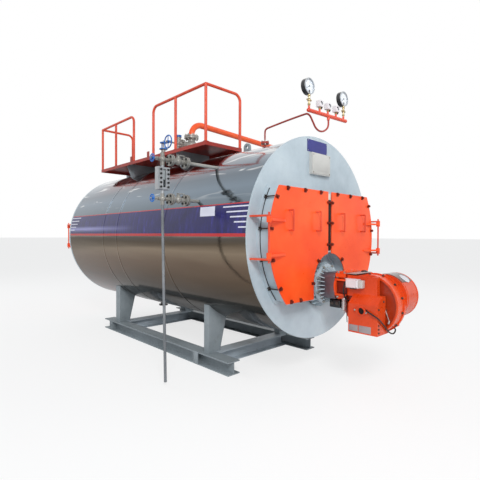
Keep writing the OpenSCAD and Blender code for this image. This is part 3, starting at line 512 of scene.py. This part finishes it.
def tube(points, radius):
    """A round bar or pipe along local points, as a curve made a mesh."""
    curve = bpy.data.curves.new("run", "CURVE")
    curve.dimensions = "3D"
    curve.bevel_depth = radius / 1000
    curve.bevel_resolution = 2
    curve.use_fill_caps = True
    line = curve.splines.new("POLY")
    line.points.add(len(points) - 1)
    for spot, at in zip(line.points, points):
        spot.co = (*local(*at), 1.0)
    made = bpy.data.objects.new("run", curve)
    bpy.context.scene.collection.objects.link(made)
    only(made)
    bpy.ops.object.convert(target="MESH")
    return bpy.context.object


clamp_angles = [math.radians(angle) for angle in (24, 5, -13, -31)]
bead_angles = [math.radians(-41 + 71.5 * i / 24) for i in range(25)]
for side, s in (("left", 1), ("right", -1)):
    rods = []
    for a in clamp_angles:
        x, z = -906 * math.cos(a) * s, 906 * math.sin(a)
        rods.append(tube([(x, -20, z), (x, -126, z)], 6.5))
        rods.append(begin("torus", major_radius=0.011, minor_radius=0.0055,
                          major_segments=16, minor_segments=8,
                          location=local(x, -16, z), rotation=(0, math.pi / 2 + a * s, 0)))
        for shift in (-9, 9):
            middle = local(x - shift * math.sin(a) * s, -17, z - shift * math.cos(a))
            rods.append(block((28, 32, 5), middle, rotation=(0, a * s, 0)))
    done(joined(rods), "swing_bolts_" + side, forged)
    mastic = tube([(-889.5 * math.cos(a) * s, -13, 889.5 * math.sin(a)) for a in bead_angles], 4.5)
    done(mastic, "collar_root_bead_" + side, graphite)

# Inside the smokebox: the bare steel drum, tube plate and furnace mouth, as the mill rolled
# them, matt black with soot and brown with light rust.
soot = weathered("sooty boiler plate", "3a302a 241e1a 54443a", "6a4630", 0.75, 0.6, 0.0)
dress(soot, "drum", "tube_plate", "furnace_mouth")

# The skid and the legs: rolled sections and boxed plate in a mid grey enamel, half dull and dusty;
# the cross beams carry the same grey drawn lighter as painted light. Weld beads run where the legs
# stand on the beams.
skid_enamel = weathered("mid grey skid enamel", "8d969b 7f888d 9ba4a9", "5c564e", 0.42, 0.4, 0.05)
dress(skid_enamel, "skid_beam_left", "skid_beam_right", "front_legs", "rear_legs",
      "platform_brackets", "lifting_eyes")
# Painted light: the cross beams' paint is the skid's grey drawn lighter, as if lit from the front.
painted_light_skid_enamel = weathered("skid enamel with painted light", "b4bec6 a6b0b8 c2ccd4", "6c665e", 0.42, 0.4, 0.05)
dress(painted_light_skid_enamel, "cross_beams")
ground, beam_height = -1438, 142
bead_z = ground + beam_height + 1
for side, s in (("left", -1), ("right", 1)):
    bar("beam_side_plate_" + side, (s * 762, 1062, -1430), (s * 751, 1138, -1290), 3,
        skid_enamel)
beads = []
for s in (-1, 1):
    outer, inner = 686 * s, 525 * s
    for near, far in ((951, 1041), (3084, 3214)):
        for start, end in (
            ((outer, near), (outer, far)), ((inner, near), (inner, far)),
            ((outer, near), (inner, near)), ((outer, far), (inner, far)),
        ):
            beads.append(tube([(*start, bead_z), (*end, bead_z)], 4))
done(joined(beads), "leg_weld_beads", skid_enamel)

# The platform and its rails: folded plate and bent tube in a red-orange enamel, duller than
# the doors', with a darker red on the deck. Each post stands on a small welded foot plate.
rail_enamel = weathered("red-orange structural enamel", "d84c30 c23e24 e45c3c", "7a2e1c", 0.36, 0.3)
dress(rail_enamel, "guard_rail_rear", "guard_rail_front", "hinge_bracket_left", "hinge_bracket_right",
      "door_handles_left", "door_handles_right")
deck_enamel = weathered("red deck enamel", "9c2e24 84261e b03a2e", "4c2420", 0.4, 0.4)
dress(deck_enamel, "platform_deck")
foot = block((60, 60, 6), (0, 0, 0))
soften(foot, lambda at, run: abs(run.z) > 0.9, 12, 3)
soften(foot, lambda at, run: at.z > 0.002 and abs(run.z) < 0.5, 2)
posts = [(-513, y) for y in (4034, 3549, 2959, 1234, 1851, 2398)] + [(22, 4034), (22, 1234)]
feet = [facing(upward, x, y, 1137) for x, y in posts]
placed("rail_post_feet", foot, feet, deck_enamel)

# The deck's top is walked on: almond-shaped treads are rolled into the plate, crosswise in
# turn. They are drawn 45 mm apart, coarser than the real 25 mm so that they show.


def modify(piece, kind, **settings):
    """Gives the piece one modifier with these settings and applies it."""
    only(piece)
    modifier = piece.modifiers.new(kind, kind)
    for setting, value in settings.items():
        setattr(modifier, setting, value)
    bpy.ops.object.modifier_apply(modifier=kind)


def row_of(piece, step, count):
    """Repeats the piece in a row."""
    modify(piece, "ARRAY", use_relative_offset=False, use_constant_offset=True,
           constant_offset_displace=step, count=count)


step = 0.045
tread = begin("uv_sphere", segments=8, ring_count=4, radius=0.5, scale=(0.032, 0.010, 0.004),
              rotation=(0, 0, math.radians(45)))
applied(tread)
pick(tread, lambda at, normal: at.z < -0.0002)
bpy.ops.mesh.delete(type="FACE")
rest()
tread.location = local(-500, 1250, 1134)
row_of(tread, (step * 2, 0, 0), 6)
bpy.ops.object.duplicate()
turned = bpy.context.object
pick(turned, lambda at, normal: True)
bpy.ops.transform.mirror(constraint_axis=(False, True, False))
rest()
turned.location = tread.location + Vector((step, step, 0))
tread = joined([tread, turned])
row_of(tread, (0, step * 2, 0), 30)
done(tread, "deck_treads", deck_enamel)

# The crown's fittings: cast valves in a dirty aluminium-grey paint, joined by flanges with a
# dark joint ring between them and eight studs through both. The steam pipe is glossy orange.
valve_grey = weathered("aluminium valve paint", "96948e 7a7872 b0aea8", "4a4038", 0.36, 0.8, metallic=0.25)
dress(valve_grey, "steam_valve", "safety_valve", "vent_valve", "level_branches")
pipe_orange = weathered("steam pipe enamel", "f85e28 ea501e ff7038", "a03c1c", 0.28, 0.15, 0.2)
dress(pipe_orange, "steam_pipe")
stem_z = 1366
joint_rings, stud_places = [], []
flanges = ((stop_y, 1160, 108), (stop_y, 1478, 108), (safety_y, 1160, 91.8), (vent_y, 1160, 91.8))
for y, low, radius in flanges:
    joint_rings.append(begin("cylinder", vertices=48, radius=(radius + 0.6) / 1000, depth=0.003,
                             location=local(nozzle_x, y, low + 22)))
    pick(joint_rings[-1], lambda at, normal: abs(normal.z) > 0.9)
    bpy.ops.mesh.inset(thickness=0.02)
    for axis, z in ((upward, low + 44), (downward, low)):
        stud_places += bolt_circle(facing(axis, nozzle_x, y, z), radius - 21, 8, 22.5)
done(joined(joint_rings), "flange_joint_rings", graphite)
stud_places += bolt_circle(facing(rightward, 272, safety_y, 1330), 67, 8, 22.5)
stud_places += bolt_circle(facing(leftward, 250, safety_y, 1330), 67, 8, 22.5)
stud_places += bolt_circle(facing(leftward, -63, stop_y, stem_z), 58, 6)
nuts("crown_flange_nuts", (24, 16, 9), stud_places)
siphon_studs = [(upward, 1080), (downward, 1056)]
siphon_studs = [bolt_circle(facing(axis, -157, 607, z), 34, 4, 45) for axis, z in siphon_studs]
nuts("siphon_flange_nuts", (17, 11, 6), sum(siphon_studs, []))

# The handwheels are cast iron in a blue valve enamel, half glossy. A plated nut holds each on
# its spindle, and a turned gland follower or gland nut closes the stem's packing behind it.
blue = weathered("blue valve enamel", "2a6fc0 225ca4 3a80d0", "1c3050", 0.35, 0.3)
dress(blue, "handwheels")
branch_y, branch_heights = 801, (741, 365)
nuts("stop_valve_spindle_nut", (30, 14, 10), [facing(leftward, -315, stop_y, stem_z)])
nuts("level_valve_spindle_nuts", (16, 8, 6), [facing(leftward, -1503, branch_y, z) for z in branch_heights])
stop_gland = [facing(leftward, -71, stop_y, stem_z)]
placed("stop_valve_gland", ring(34, 12.5, 16, 24, 4), stop_gland, zinc)
nuts("level_valve_gland_nuts", (34, 16, 6), [facing(leftward, -1440, branch_y, z) for z in branch_heights])

# The reflex level gauge: a ribbed dark glass in its slot, half covered by the water's line,
# in a bright steel body with blackened cover nuts, over a drain tube of weathered steel.
gauge_steel = weathered("bright gauge body steel", "b0b3b6 94989b c8cbce", "4c4a46", 0.3, 0.4, 0.0, 0.5)
dress(gauge_steel, "level_gauge")
drain_steel = weathered("weathered drain tube", "7c8084 686c70 94989c", "4c4640", 0.34, 0.6, 0.0, 0.35)
dress(drain_steel, "level_drain")
reflex, tree, shader = new_material("ribbed reflex glass")
place = node(tree, "TexCoord")["Object"]
part = node(tree, "SeparateXYZ", {0: place})
ribs = node(tree, "TexWave", {"Vector": place, "Scale": 60.0}, bands_direction="X")["Fac"]
water = node(tree, "Math", {0: part["Z"], 1: local(0, 0, 545).z}, operation="LESS_THAN")[0]
tone = node(tree, "MixRGB", {"Fac": water, "Color1": linear("8e9698"), "Color2": linear("0c1012")})[0]
bump = node(tree, "Bump", {"Strength": 0.4, "Distance": 0.002, "Height": ribs})[0]
plug(tree, shader, {"Base Color": tone, "Roughness": 0.08, "Normal": bump,
                    "Coat Weight": 1.0, "Coat Roughness": 0.03})
bar("level_gauge_glass", (-1397, 775, 472), (-1371, 784, 640), 2.0, reflex)
black_nut = weathered("blackened nut steel", "2c2b2b 1e1d1d 45423f", "4c3a30", 0.4, 0.4, 0.0, 0.4)
cover_nuts = [facing(forward, -1384 + s * 40, 764, 474 + row * 41) for s in (-1, 1) for row in range(5)]
nuts("level_gauge_cover_nuts", (19, 12, 8), cover_nuts, black_nut)
joints = [(x, z) for x in (-1113, -1292) for z in branch_heights]
gaskets = [facing(rightward, x, branch_y, z) for x, z in joints]
placed("level_flange_gaskets", ring(56.8, 30, 2.8, 40, 0.4), gaskets, graphite)
flange_nuts = [
    facing((s, 0, 0), x + s * 18, branch_y + 43 * math.sin(a), z + 43 * math.cos(a))
    for x, z in joints for s in (-1, 1) for a in map(math.radians, (45, 135, 225, 315))]
nuts("level_flange_nuts", (22.8, 6.8, 5), flange_nuts, black_nut)

# Two bare plates on the front: a shallow box of brushed steel, silky and pale, with a rounded
# lid and four screws, and a sign plate in a deep blue enamel with a screw at each corner.
plate_steel = weathered("brushed steel plate", "c4c4c0 b8b8b4 d2d2ce", "8c8a86", 0.4, 0.2, metallic=0.1)
dress(plate_steel, "nameplate")
bar("nameplate_lid", (-139, -39, 659), (173, -34.5, 863), 1.8, plate_steel)
bar("nameplate_blank", (-113, -40.6, 690), (147, -38.5, 832), 0.8, plate_steel)
nuts("nameplate_screws", (12, 4, 2), [facing(forward, x, -39, z) for x in (-127, 161) for z in (671, 851)])
sign_blue = weathered("blue sign enamel", "2b2f7a 262a70 343888", "1c1e40", 0.3, 0.1)
dress(sign_blue, "sign_plate")
nuts("sign_screws", (10, 3, 2), [facing(forward, x, -3, z) for x in (-171, 151) for z in (892, 993)])

# The gauge header and its siphon pipe: bent and welded steel pipe, the header in a bright
# red-orange gloss enamel, the pipe in a darker red one.
header_enamel = weathered("red-orange pipe enamel", "e04c32 cc3e26 ec6042", "8a3424", 0.28, 0.2, 0.2)
dress(header_enamel, "gauge_header")
siphon_enamel = weathered("red pipe enamel", "9c3228 842822 b44238", "5a241c", 0.3, 0.2, 0.3)
dress(siphon_enamel, "gauge_pipe")

# The pressure gauges: glossy black japanned cases on dull brass cocks. The case and the cock
# are one body, so its material turns to brass below the case.
header_slope = math.tan(math.radians(2.6))


def header_z(x):
    """The header's height in local millimetres; it rises to the right."""
    return 1324 + (x - 215) * header_slope


gauges = [(x, header_z(x) + 246) for x in (-131, 525)]
case, tree, shader = new_material("black japanned case on brass cock")
place = node(tree, "TexCoord")["Object"]
near = 1.0
for x, z in gauges:
    off = node(tree, "VectorMath", {0: place, 1: local(x, 37, z)}, operation="DISTANCE")["Value"]
    near = node(tree, "Math", {0: near, 1: off}, operation="MINIMUM")[0]
is_cock = node(tree, "Math", {0: near, 1: 0.0885}, operation="GREATER_THAN")[0]
wear = node(tree, "TexNoise", {"Vector": place, "Scale": 60.0, "Detail": 6.0})["Fac"]
brass = node(tree, "ValToRGB", {"Fac": wear}, stops=((0.35, "8f7c54"), (0.5, "b5a276"), (0.68, "cdbf98")))[0]
black = node(tree, "ValToRGB", {"Fac": wear}, stops=((0.4, "141517"), (0.7, "24262a")))[0]
tone = node(tree, "MixRGB", {"Fac": is_cock, "Color1": black, "Color2": brass})[0]
metal = node(tree, "Math", {0: is_cock, 1: 0.7}, operation="MULTIPLY")[0]
plug(tree, shader, {"Base Color": tone, "Metallic": metal, "Roughness": 0.26,
                    "Coat Weight": 0.25, "Coat Roughness": 0.1})
dress(case, "pressure_gauges")

# Each gauge's dial is a white enamelled disc with a black scale of strokes over 270 degrees;
# a chromed bezel with a rolled edge holds it, and a slim grey pointer turns on its hub.


def turned_pin(sides, radius, depth, edge, segments=2, **place):
    """A turned pin or disc with rounded rims, in millimetres."""
    pin = begin("cylinder", vertices=sides, radius=radius / 1000, depth=depth / 1000, **place)
    soften(pin, lambda at, run: abs(run.z) < 0.5, edge, segments)
    return pin


chrome = weathered("polished chrome", "c8ccd0 b4b8bc dfe2e5", "8c9094", 0.12, 0.1, 0.0, 0.9)
pointer_grey = weathered("grey pointer", "3a3d42 303338 4a4d52", roughness=0.4, dirt=0.1)
lying = (math.pi / 2, 0, 0)
for number, sweep, (x, z) in ((1, -120, gauges[0]), (2, -128, gauges[1])):
    dial_paint, tree, shader = new_material("white enamelled dial")
    place = node(tree, "TexCoord")["Object"]
    off = node(tree, "VectorMath", {0: place, 1: local(x, 19, z)}, operation="SUBTRACT")[0]
    part = node(tree, "SeparateXYZ", {0: off})
    turn = node(tree, "Math", {0: part["X"], 1: part["Z"]}, operation="ARCTAN2")[0]
    radius = node(tree, "VectorMath", {0: off}, operation="LENGTH")["Value"]
    on_scale = node(tree, "Math", {0: turn}, operation="ABSOLUTE")[0]
    on_scale = node(tree, "Math", {0: on_scale, 1: math.radians(136)}, operation="LESS_THAN")[0]
    strokes = 0.0
    for pitch, width, low in ((27.0, 0.10, 0.056), (5.4, 0.22, 0.062)):
        beat = turn
        for operation, value in (("DIVIDE", math.radians(pitch)), ("ADD", 0.5), ("FRACT", 0.0),
                                 ("SUBTRACT", 0.5), ("ABSOLUTE", 0.0), ("LESS_THAN", width / 2),
                                 ("MULTIPLY", between(tree, radius, low, 0.068))):
            beat = node(tree, "Math", {0: beat, 1: value}, operation=operation)[0]
        strokes = node(tree, "Math", {0: strokes, 1: beat}, operation="MAXIMUM")[0]
    strokes = node(tree, "Math", {0: strokes, 1: on_scale}, operation="MULTIPLY")[0]
    haze = node(tree, "TexNoise", {"Vector": place, "Scale": 12.0, "Detail": 3.0})["Fac"]
    white_tone = node(tree, "ValToRGB", {"Fac": haze}, stops=((0.3, "dbe4ee"), (0.7, "edf1f6")))[0]
    tone = node(tree, "MixRGB", {"Fac": strokes, "Color1": white_tone, "Color2": linear("3c4248")})[0]
    plug(tree, shader, {"Base Color": tone, "Roughness": 0.3, "Coat Weight": 0.4, "Coat Roughness": 0.05})
    dial, bezel = turned_pin(64, 75.5, 1.6, 0.4, 1), ring(83.8, 73.5, 8, 64, 2.5)
    placed("gauge_dial_%d" % number, dial, [facing(forward, x, 18.2, z)], dial_paint)
    placed("gauge_bezel_%d" % number, bezel, [facing(forward, x, 10.5, z)], chrome)
    needle = block((3.5, 1.5, 72), (0, 0, 0))
    pick(needle, lambda at, normal: normal.z > 0.9)
    bpy.ops.transform.resize(value=(0.25, 1, 1))
    rest()
    needle.matrix_world = (Matrix.Translation(local(x, 15, z))
                           @ Matrix.Rotation(math.radians(sweep), 4, "Y")
                           @ Matrix.Translation((0, 0, 0.020)))
    boss = turned_pin(20, 6, 5, 1, location=local(x, 15.5, z), rotation=lying)
    done(joined([needle, boss]), "gauge_pointer_%d" % number, pointer_grey)

# The pressure switches: pale moulded plastic boxes with rounded edges on dull brass sockets,
# each with a smoked window and a knob on its front and a black cable gland at its corner.
switch_plastic = weathered("pale grey moulded plastic", "dedadd d2ccd0 e9e6e8", "8c8c8c", 0.4, 0.1)
window_grey = weathered("smoked switch window", "6c7076 5c6066 84888e", roughness=0.15, dirt=0.1, coat=0.6)
brass_fitting = weathered("dull brass", "a8935f 8a764a c6b488", "5c4a30", 0.32, 0.4, 0.0, 0.7)
switches = [(x, header_z(x)) for x in (57, 211, 370)]
boxes, windows, knobs = [], [], []
for x, base in switches:
    box = block((64, 56, 68), local(x, 19, base + 100))
    soften(box, lambda at, run: True, 5, 3)
    pick(box, lambda at, normal: normal.y < -0.99)
    bpy.ops.mesh.inset(thickness=0.005, depth=0)
    bpy.ops.mesh.inset(thickness=0.0012, depth=-0.0012)
    boxes.append(box)
    windows.append(rounded((x, -11, base + 90), (x + 18, -7, base + 116), 1.2))
    knobs.append(turned_pin(20, 6, 8, 1.2, location=local(x - 14, -12, base + 112), rotation=lying))
boxes = done(joined(boxes), "pressure_switch_boxes", switch_plastic)
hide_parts("pressure_switches")
done(joined(windows), "pressure_switch_windows", window_grey)
done(joined(knobs), "pressure_switch_knobs", graphite)
nuts("pressure_switch_sockets", (28, 13, 9), [facing(upward, x, 19, base + 46) for x, base in switches],
     brass_fitting)
nuts("pressure_switch_glands", (19, 8, 12), [facing(downward, x + 22, 10, base + 66) for x, base in switches],
     graphite)

# The burner: cast aluminium and pressed steel in a deep orange gloss enamel, on a blast tube
# of bare steel that heat has tinted. Its gas valve is in glossy black japan. The fan scroll's
# side is a pressed disc in the rim's enamel, with a darker, browner red on it as a painted dark reflection.
burner_orange = weathered("burner orange enamel", "d64414 c0380c e6541c", "7a2810", 0.26, 0.3, 0.2)
dress(burner_orange, "burner_housing", "burner_motor")
scroll_y, scroll_z = -651, -604
scroll_enamel_painted_reflection = weathered("fan scroll enamel with painted reflection", "e04c1c cc4014 ee5c28", "7a2810", 0.26, 0.3, 0.25)
tree, shader = scroll_enamel_painted_reflection.node_tree, scroll_enamel_painted_reflection.node_tree.nodes["Principled BSDF"]
tone = shader.inputs["Base Color"].links[0].from_socket
# Painted dark reflection: inside the rim, on faces turned left, the scroll's side is mixed to a dark
# brown-red.
spots = node(tree, "TexCoord")
centre = local(0, scroll_y, scroll_z)
reach = node(tree, "VectorMath", {0: spots["Object"], 1: centre}, operation="SUBTRACT")[0]
reach = node(tree, "VectorMath", {0: reach, 1: (0, 1, 1)}, operation="MULTIPLY")[0]
reach = node(tree, "VectorMath", {0: reach}, operation="LENGTH")["Value"]
inner = node(tree, "MapRange", {"Value": reach, "From Min": 0.262, "From Max": 0.240})[0]
side = node(tree, "SeparateXYZ", {0: spots["Normal"]})["X"]
side = node(tree, "MapRange", {"Value": side, "From Min": -0.7, "From Max": -0.9})[0]
for share in (side, 0.8):
    inner = node(tree, "Math", {0: inner, 1: share}, operation="MULTIPLY")[0]
tone = node(tree, "MixRGB", {"Fac": inner, "Color1": tone, "Color2": linear("7c2008")})[0]
plug(tree, shader, {"Base Color": tone})
dress(scroll_enamel_painted_reflection, "burner_scroll")
head_orange = weathered("burner head enamel", "e44e1e cc3e14 f4642c", "6c200c", 0.26, 0.4, 0.2)
dress(head_orange, "burner_head")
neck_metal = weathered("bare blast tube steel", "686068 4c444a 8a8288", "5a2c26", 0.3, 0.7, 0.1, 0.45)
neck = block((262, 169, 262), local(0, -210.5, burner_z))
soften(neck, lambda at, run: abs(run.y) > 0.9, 50, 4)
soften(neck, lambda at, run: at.y < -0.08 and abs(run.y) < 0.5, 8, 3)
done(neck, "burner_neck_casting", neck_metal)
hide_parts("burner_neck")
japan = weathered("black japanned steel", "17181a 101113 202225", "3c3c3c", 0.25, 0.2, 0.5)
dress(japan, "gas_valve", "blowdown_pipe")

# The head's lug plates are bolted through: plated nuts stand in two rows on its top, four on
# its side and two on its front.
head_bolts = [facing(upward, x, y, -343) for x in (-124, 0, 124) for y in (-335, -400)]
head_bolts += [facing(leftward, -118, y, z) for y in (-325, -412) for z in (-382, -574)]
head_bolts += [facing(forward, x, -425, -382) for x in (-96, 96)]
nuts("burner_head_nuts", (20, 12, 6), head_bolts)

# The side of the head is an open pocket round its hinge, cast between two ribs: its back is
# in shade, a deep brown-red.
pocket = weathered("shaded head pocket", "6c1c0c 521408 842610", "241008", 0.4, 0.6, 0.1)
bar("burner_head_pocket", (-121, -424, -540), (-116, -316, -416), 1.5, pocket)
for name, low, high in (("top", -416, -398), ("bottom", -560, -542)):
    bar("burner_head_rib_" + name, (-138, -424, low), (-116, -300, high), 3, head_orange)

# The top cover over the gas butterfly: a raised plate of dull aluminium on a dark terminal
# row, with a glossy black cap.
bar("burner_cover_riser", (-100, -530, -351), (138, -447, -339), 2, graphite)
bar("burner_cover_plate", (-158, -540, -340), (146, -436, -334), 1.5, cast_alu)
terminals = [rounded((x, -453, -351), (x + 24, -432, -340), 2) for x in (-108, -70, -32, 6, 44)]
done(joined(terminals), "burner_terminal_row", japan)
cap = begin("uv_sphere", segments=32, ring_count=16, radius=0.036, location=local(108, -480, -338))
pick(cap, lambda at, normal: at.z < 0.0005)
bpy.ops.mesh.delete(type="FACE")
pick(cap, lambda at, run: at.z < 0.001 and abs(run.z) < 0.1, "EDGE")
bpy.ops.mesh.edge_face_add()
rest()
cap.scale.z = 0.55
done(cap, "burner_cover_cap", japan)

# The servo motor on the housing's side: a pale moulded case with large round corners, a
# bright end and a dark foot, held by four small screws.
servo = block((59.5, 126, 84), local(-195.25, -529, -420))
soften(servo, lambda at, run: at.x < -0.02 and abs(run.x) < 0.5, 16, 5)
pick(servo, lambda at, normal: normal.x < -0.999)
bpy.ops.mesh.inset(thickness=0.006, depth=0)
bpy.ops.mesh.inset(thickness=0.001, depth=-0.001)
done(servo, "burner_servo_case", switch_plastic)
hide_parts("burner_servo")
bar("burner_servo_end", (-216, -636, -456), (-165.5, -591, -386), 5, plate_steel)
bar("burner_servo_foot", (-200, -560, -472), (-166, -500, -461), 2, graphite)
servo_screws = [facing(leftward, -225, y, z) for y in (-580, -478) for z in (-452, -388)]
nuts("burner_servo_screws", (7, 2, 1), servo_screws)

# The air box's side: an oval cast flange round the test port's throat, where a dark disc is
# painted shade, two blank plates of dull anodised aluminium with rivets, and dark screws on the front.
port_z, sideways = -649, (0, math.pi / 2, 0)
ears = ((-596, -642), (-706, -656))
discs = [
    begin("cylinder", vertices=sides, radius=radius, depth=0.008,
          location=local(-266, y, z), rotation=sideways)
    for sides, radius, y, z in ((48, 0.041, scroll_y, port_z), (24, 0.014, *ears[0]), (24, 0.014, *ears[1]))]
flange = joined(discs)
pick(flange, lambda at, normal: True)
bpy.ops.mesh.convex_hull()
bore = begin("cylinder", vertices=48, radius=0.030, depth=0.05, location=local(-266, scroll_y, port_z),
             rotation=sideways)
modify(flange, "BOOLEAN", object=bore)
bpy.data.objects.remove(bore)
modify(flange, "BEVEL", width=0.0015, segments=2, limit_method="ANGLE")
done(flange, "test_port_flange", burner_orange)
nuts("test_port_nuts", (15, 8, 5), [facing(leftward, -270, y, z) for y, z in ears])
# A dark disc sits in the bore as painted shade for the port's depth.
port_shade_disc = begin("cylinder", vertices=40, radius=0.0295, depth=0.003, location=local(-259, scroll_y, port_z),
               rotation=sideways)
pick(port_shade_disc, lambda at, normal: abs(normal.z) > 0.9)
bpy.ops.mesh.inset(thickness=0.01, depth=-0.0008)
done(port_shade_disc, "test_port_shade_disc", graphite)
data_alu = weathered("anodised data plate", "9c9294 8c8284 aea6a8", "6a4a40", 0.4, 0.2, 0.1, 0.2)
bar("burner_data_plate_1", (-264, -621, -836), (-261.5, -533, -780), 0.8, data_alu)
bar("burner_data_plate_2", (-264, -745, -839), (-261.5, -629, -778), 0.8, data_alu)
rivets = [facing(leftward, -264, y, z) for y in (-615, -539, -739, -635) for z in (-831, -785)]
nuts("burner_plate_rivets", (6, 1.5, 0.5), rivets)
box_screws = [(x, z) for x in (-238, -70) for z in (-758, -790, -822)]
box_screws += [(-240, -620), (-150, -560), (-96, -640)]
box_screws = [facing(forward, x, -803, z) for x, z in box_screws]
nuts("air_box_screws", (14, 7, 3), box_screws, forged)

# The fan scroll's rim carries dark screws in its bosses, and its open side a thin pressure
# tube of bright drawn steel with a hose nipple.
bosses = [
    facing(leftward, -16, scroll_y - 270 * math.sin(a), scroll_z + 270 * math.cos(a))
    for a in map(math.radians, (-10, 18, 46, 74, 102, 130))]
nuts("scroll_boss_screws", (19, 11, 4), bosses, forged)
tube_steel = weathered("bright tube steel", "c9c3c2 b2abaa dcd8d8", "5a5048", 0.25, 0.2, 0.0, 0.7)
pressure_tube = tube([(-100, -700, -533), (-103, -713, -543), (-104, -752, -566), (-104, -780, -603),
                      (-104, -806, -659), (-104, -830, -722), (-104, -834, -742)], 4)
nipple = turned_pin(16, 9, 34, 3, location=local(-106, -833, -742), rotation=(math.radians(14), 0, 0))
done(joined([pressure_tube, nipple]), "scroll_pressure_tube", tube_steel)

# The motor's housing: a glossy dark pressed cover lies over its crown with a blank oval plate
# of pale aluminium, and the drum has a rolled rim at each end and a slotted fan cowl.
motor_y, motor_z, sheet = -735, -540, 0.003


def over_motor(radius, x_low, x_high, first, last, oval=False):
    """A curved plate over the motor's drum; angles rise from the top to the front."""
    strip = begin("grid", x_subdivisions=12, y_subdivisions=24, size=1.0)
    pick(strip, lambda at, normal: True)
    shape = bmesh.from_edit_mesh(strip.data)
    for corner in shape.verts:
        u, v = corner.co.x, corner.co.y
        if oval:
            u, v = u * math.sqrt(1 - 2 * v * v), v * math.sqrt(1 - 2 * u * u)
        a = math.radians(first + (last - first) * (v + 0.5))
        x = x_low + (x_high - x_low) * (u + 0.5)
        corner.co = local(x, motor_y - radius * math.sin(a), motor_z + radius * math.cos(a))
    bmesh.update_edit_mesh(strip.data)
    bpy.ops.mesh.normals_make_consistent(inside=False)
    modify(strip, "SOLIDIFY", thickness=sheet, offset=0)
    modify(strip, "BEVEL", width=0.0008, segments=2, limit_method="ANGLE")
    return strip


dark_cover = weathered("dark motor cover", "4a3532 34231f 6a504c", "8a7c7a", 0.22, 0.35, 0.5)
done(over_motor(207, 32, 234, -58, 47), "motor_crown_cover", dark_cover)
oval_alu = weathered("blank oval plate", "d6d6da c4c4ca e6e6ea", roughness=0.3, dirt=0.1, coat=0.2)
done(over_motor(209.5, 100, 204, 22, 50, oval=True), "motor_blank_plate", oval_alu)
rims = [facing(rightward, x, motor_y, motor_z) for x in (48, 250)]
placed("motor_rolled_rims", ring(208.5, 198.5, 18, 96, 4), rims, burner_orange)
cowl = joined([ring(186, 60, 6, 64, 2)] + [ring(r + 2.2, r - 2.2, 10) for r in (85, 108, 131, 154)])
cowl_place = [facing(rightward, 268, motor_y, motor_z)]
placed("motor_fan_cowl", cowl, cowl_place, burner_orange)

# Fixed conduits of the burner: black covered metal tube, half dull, clipped at both ends. They
# run from the servo round the head, from the air box's port to the motor, and beside the box.


def smooth_run(points, steps=5):
    """More points along a smooth line through the given ones."""
    ends = [points[0]] + list(points) + [points[-1]]
    run = []
    for a, b, c, d in zip(ends, ends[1:], ends[2:], ends[3:]):
        for i in range(steps):
            t = i / steps
            run.append(tuple(
                0.5 * (2 * q + (r - p) * t + (2 * p - 5 * q + 4 * r - s) * t * t
                       + (3 * q - p - 3 * r + s) * t ** 3)
                for p, q, r, s in zip(a, b, c, d)))
    return run + [tuple(points[-1])]


covered = weathered("black covered conduit", "1b1615 120e0d 2b2422", "3c2a26", 0.35, 0.2, 0.2)
conduits = (
    ("head", 7, [(-112, -442, -388), (-150, -442, -398), (-190, -442, -430), (-208, -442, -482),
                 (-198, -442, -534), (-166, -442, -574), (-128, -444, -596), (-108, -448, -604)]),
    ("front", 6.5, [(-262, -696, -632), (-276, -722, -642), (-281, -770, -664), (-273, -812, -688),
                    (-232, -820, -720), (-160, -818, -770), (-90, -817, -822), (-48, -824, -850),
                    (-4, -832, -856), (30, -830, -830), (22, -812, -800)]),
    ("thin", 3.5, [(-170, -452, -545), (-215, -480, -600), (-268, -512, -640), (-268, -514, -700),
                   (-262, -514, -770)]),
)
for name, radius, points in conduits:
    done(tube(smooth_run(points), radius), "burner_conduit_" + name, covered)

# The pilot gas filter beside the valve: a bright drawn canister with domed ends on a short
# pipe. The gas valve carries a glossy black coil block, a dark cap and hex plugs.
canister = turned_pin(32, 22, 122, 11, 4, location=local(-126, -400, -636))
stem = tube([(-126, -400, -700), (-126, -400, -722), (-100, -384, -722), (-58, -366, -690)], 7)
done(joined([canister, stem]), "pilot_gas_filter", tube_steel)
bar("gas_valve_coil", (-78, -398, -668), (-8, -370, -612), 5, japan)
bar("gas_valve_cap", (-52, -360, -706), (-6, -322, -689), 4, forged)
bar("pilot_valve_block", (-92, -336, -692), (16, -212, -611), 12, japan, 3)
pilot_plugs = [facing(leftward, -92, y, -650) for y in (-304, -246)]
nuts("pilot_valve_plugs", (30, 12, 6), pilot_plugs, forged)
nuts("gas_valve_plug", (26, 10, 6), [facing(leftward, -60, -345, -640)])

# The rear end is made as a pair to the front: the same dark nuts hold its orange doors along
# their edges, with a graphited rope seal between them and a round sight glass in its flange.
rear_face = 4359
rear_nuts = [(891 * math.cos(a), 891 * math.sin(a)) for a in clamp_angles]
rear_nuts += [(x, 450) for x in (150, 407, 667)] + [(x, -592) for x in (150, 310, 470, 610)]
rear_nuts = [facing(rearward, s * x, rear_face, z) for x, z in rear_nuts for s in (-1, 1)]
nuts("rear_door_nuts", (28, 22, 11), rear_nuts, clamp_iron)
sight_x, sight_z = -420, -150
sight = [facing(rearward, sight_x, 4369, sight_z)]
placed("rear_sight_flange", ring(62, 34, 22, 40, 4), sight, orange)
lens = begin("uv_sphere", segments=32, ring_count=16, radius=0.036, location=local(sight_x, 4364, sight_z))
lens.scale.y = 0.3
done(lens, "rear_sight_glass", reflex)
nuts("rear_sight_nuts", (12, 8, 5), bolt_circle(facing(rearward, sight_x, 4380, sight_z), 49, 4, 45))
bar("rear_joint_seal", (-16, 4343, -560), (16, 4354, 440), 2.4, graphite)
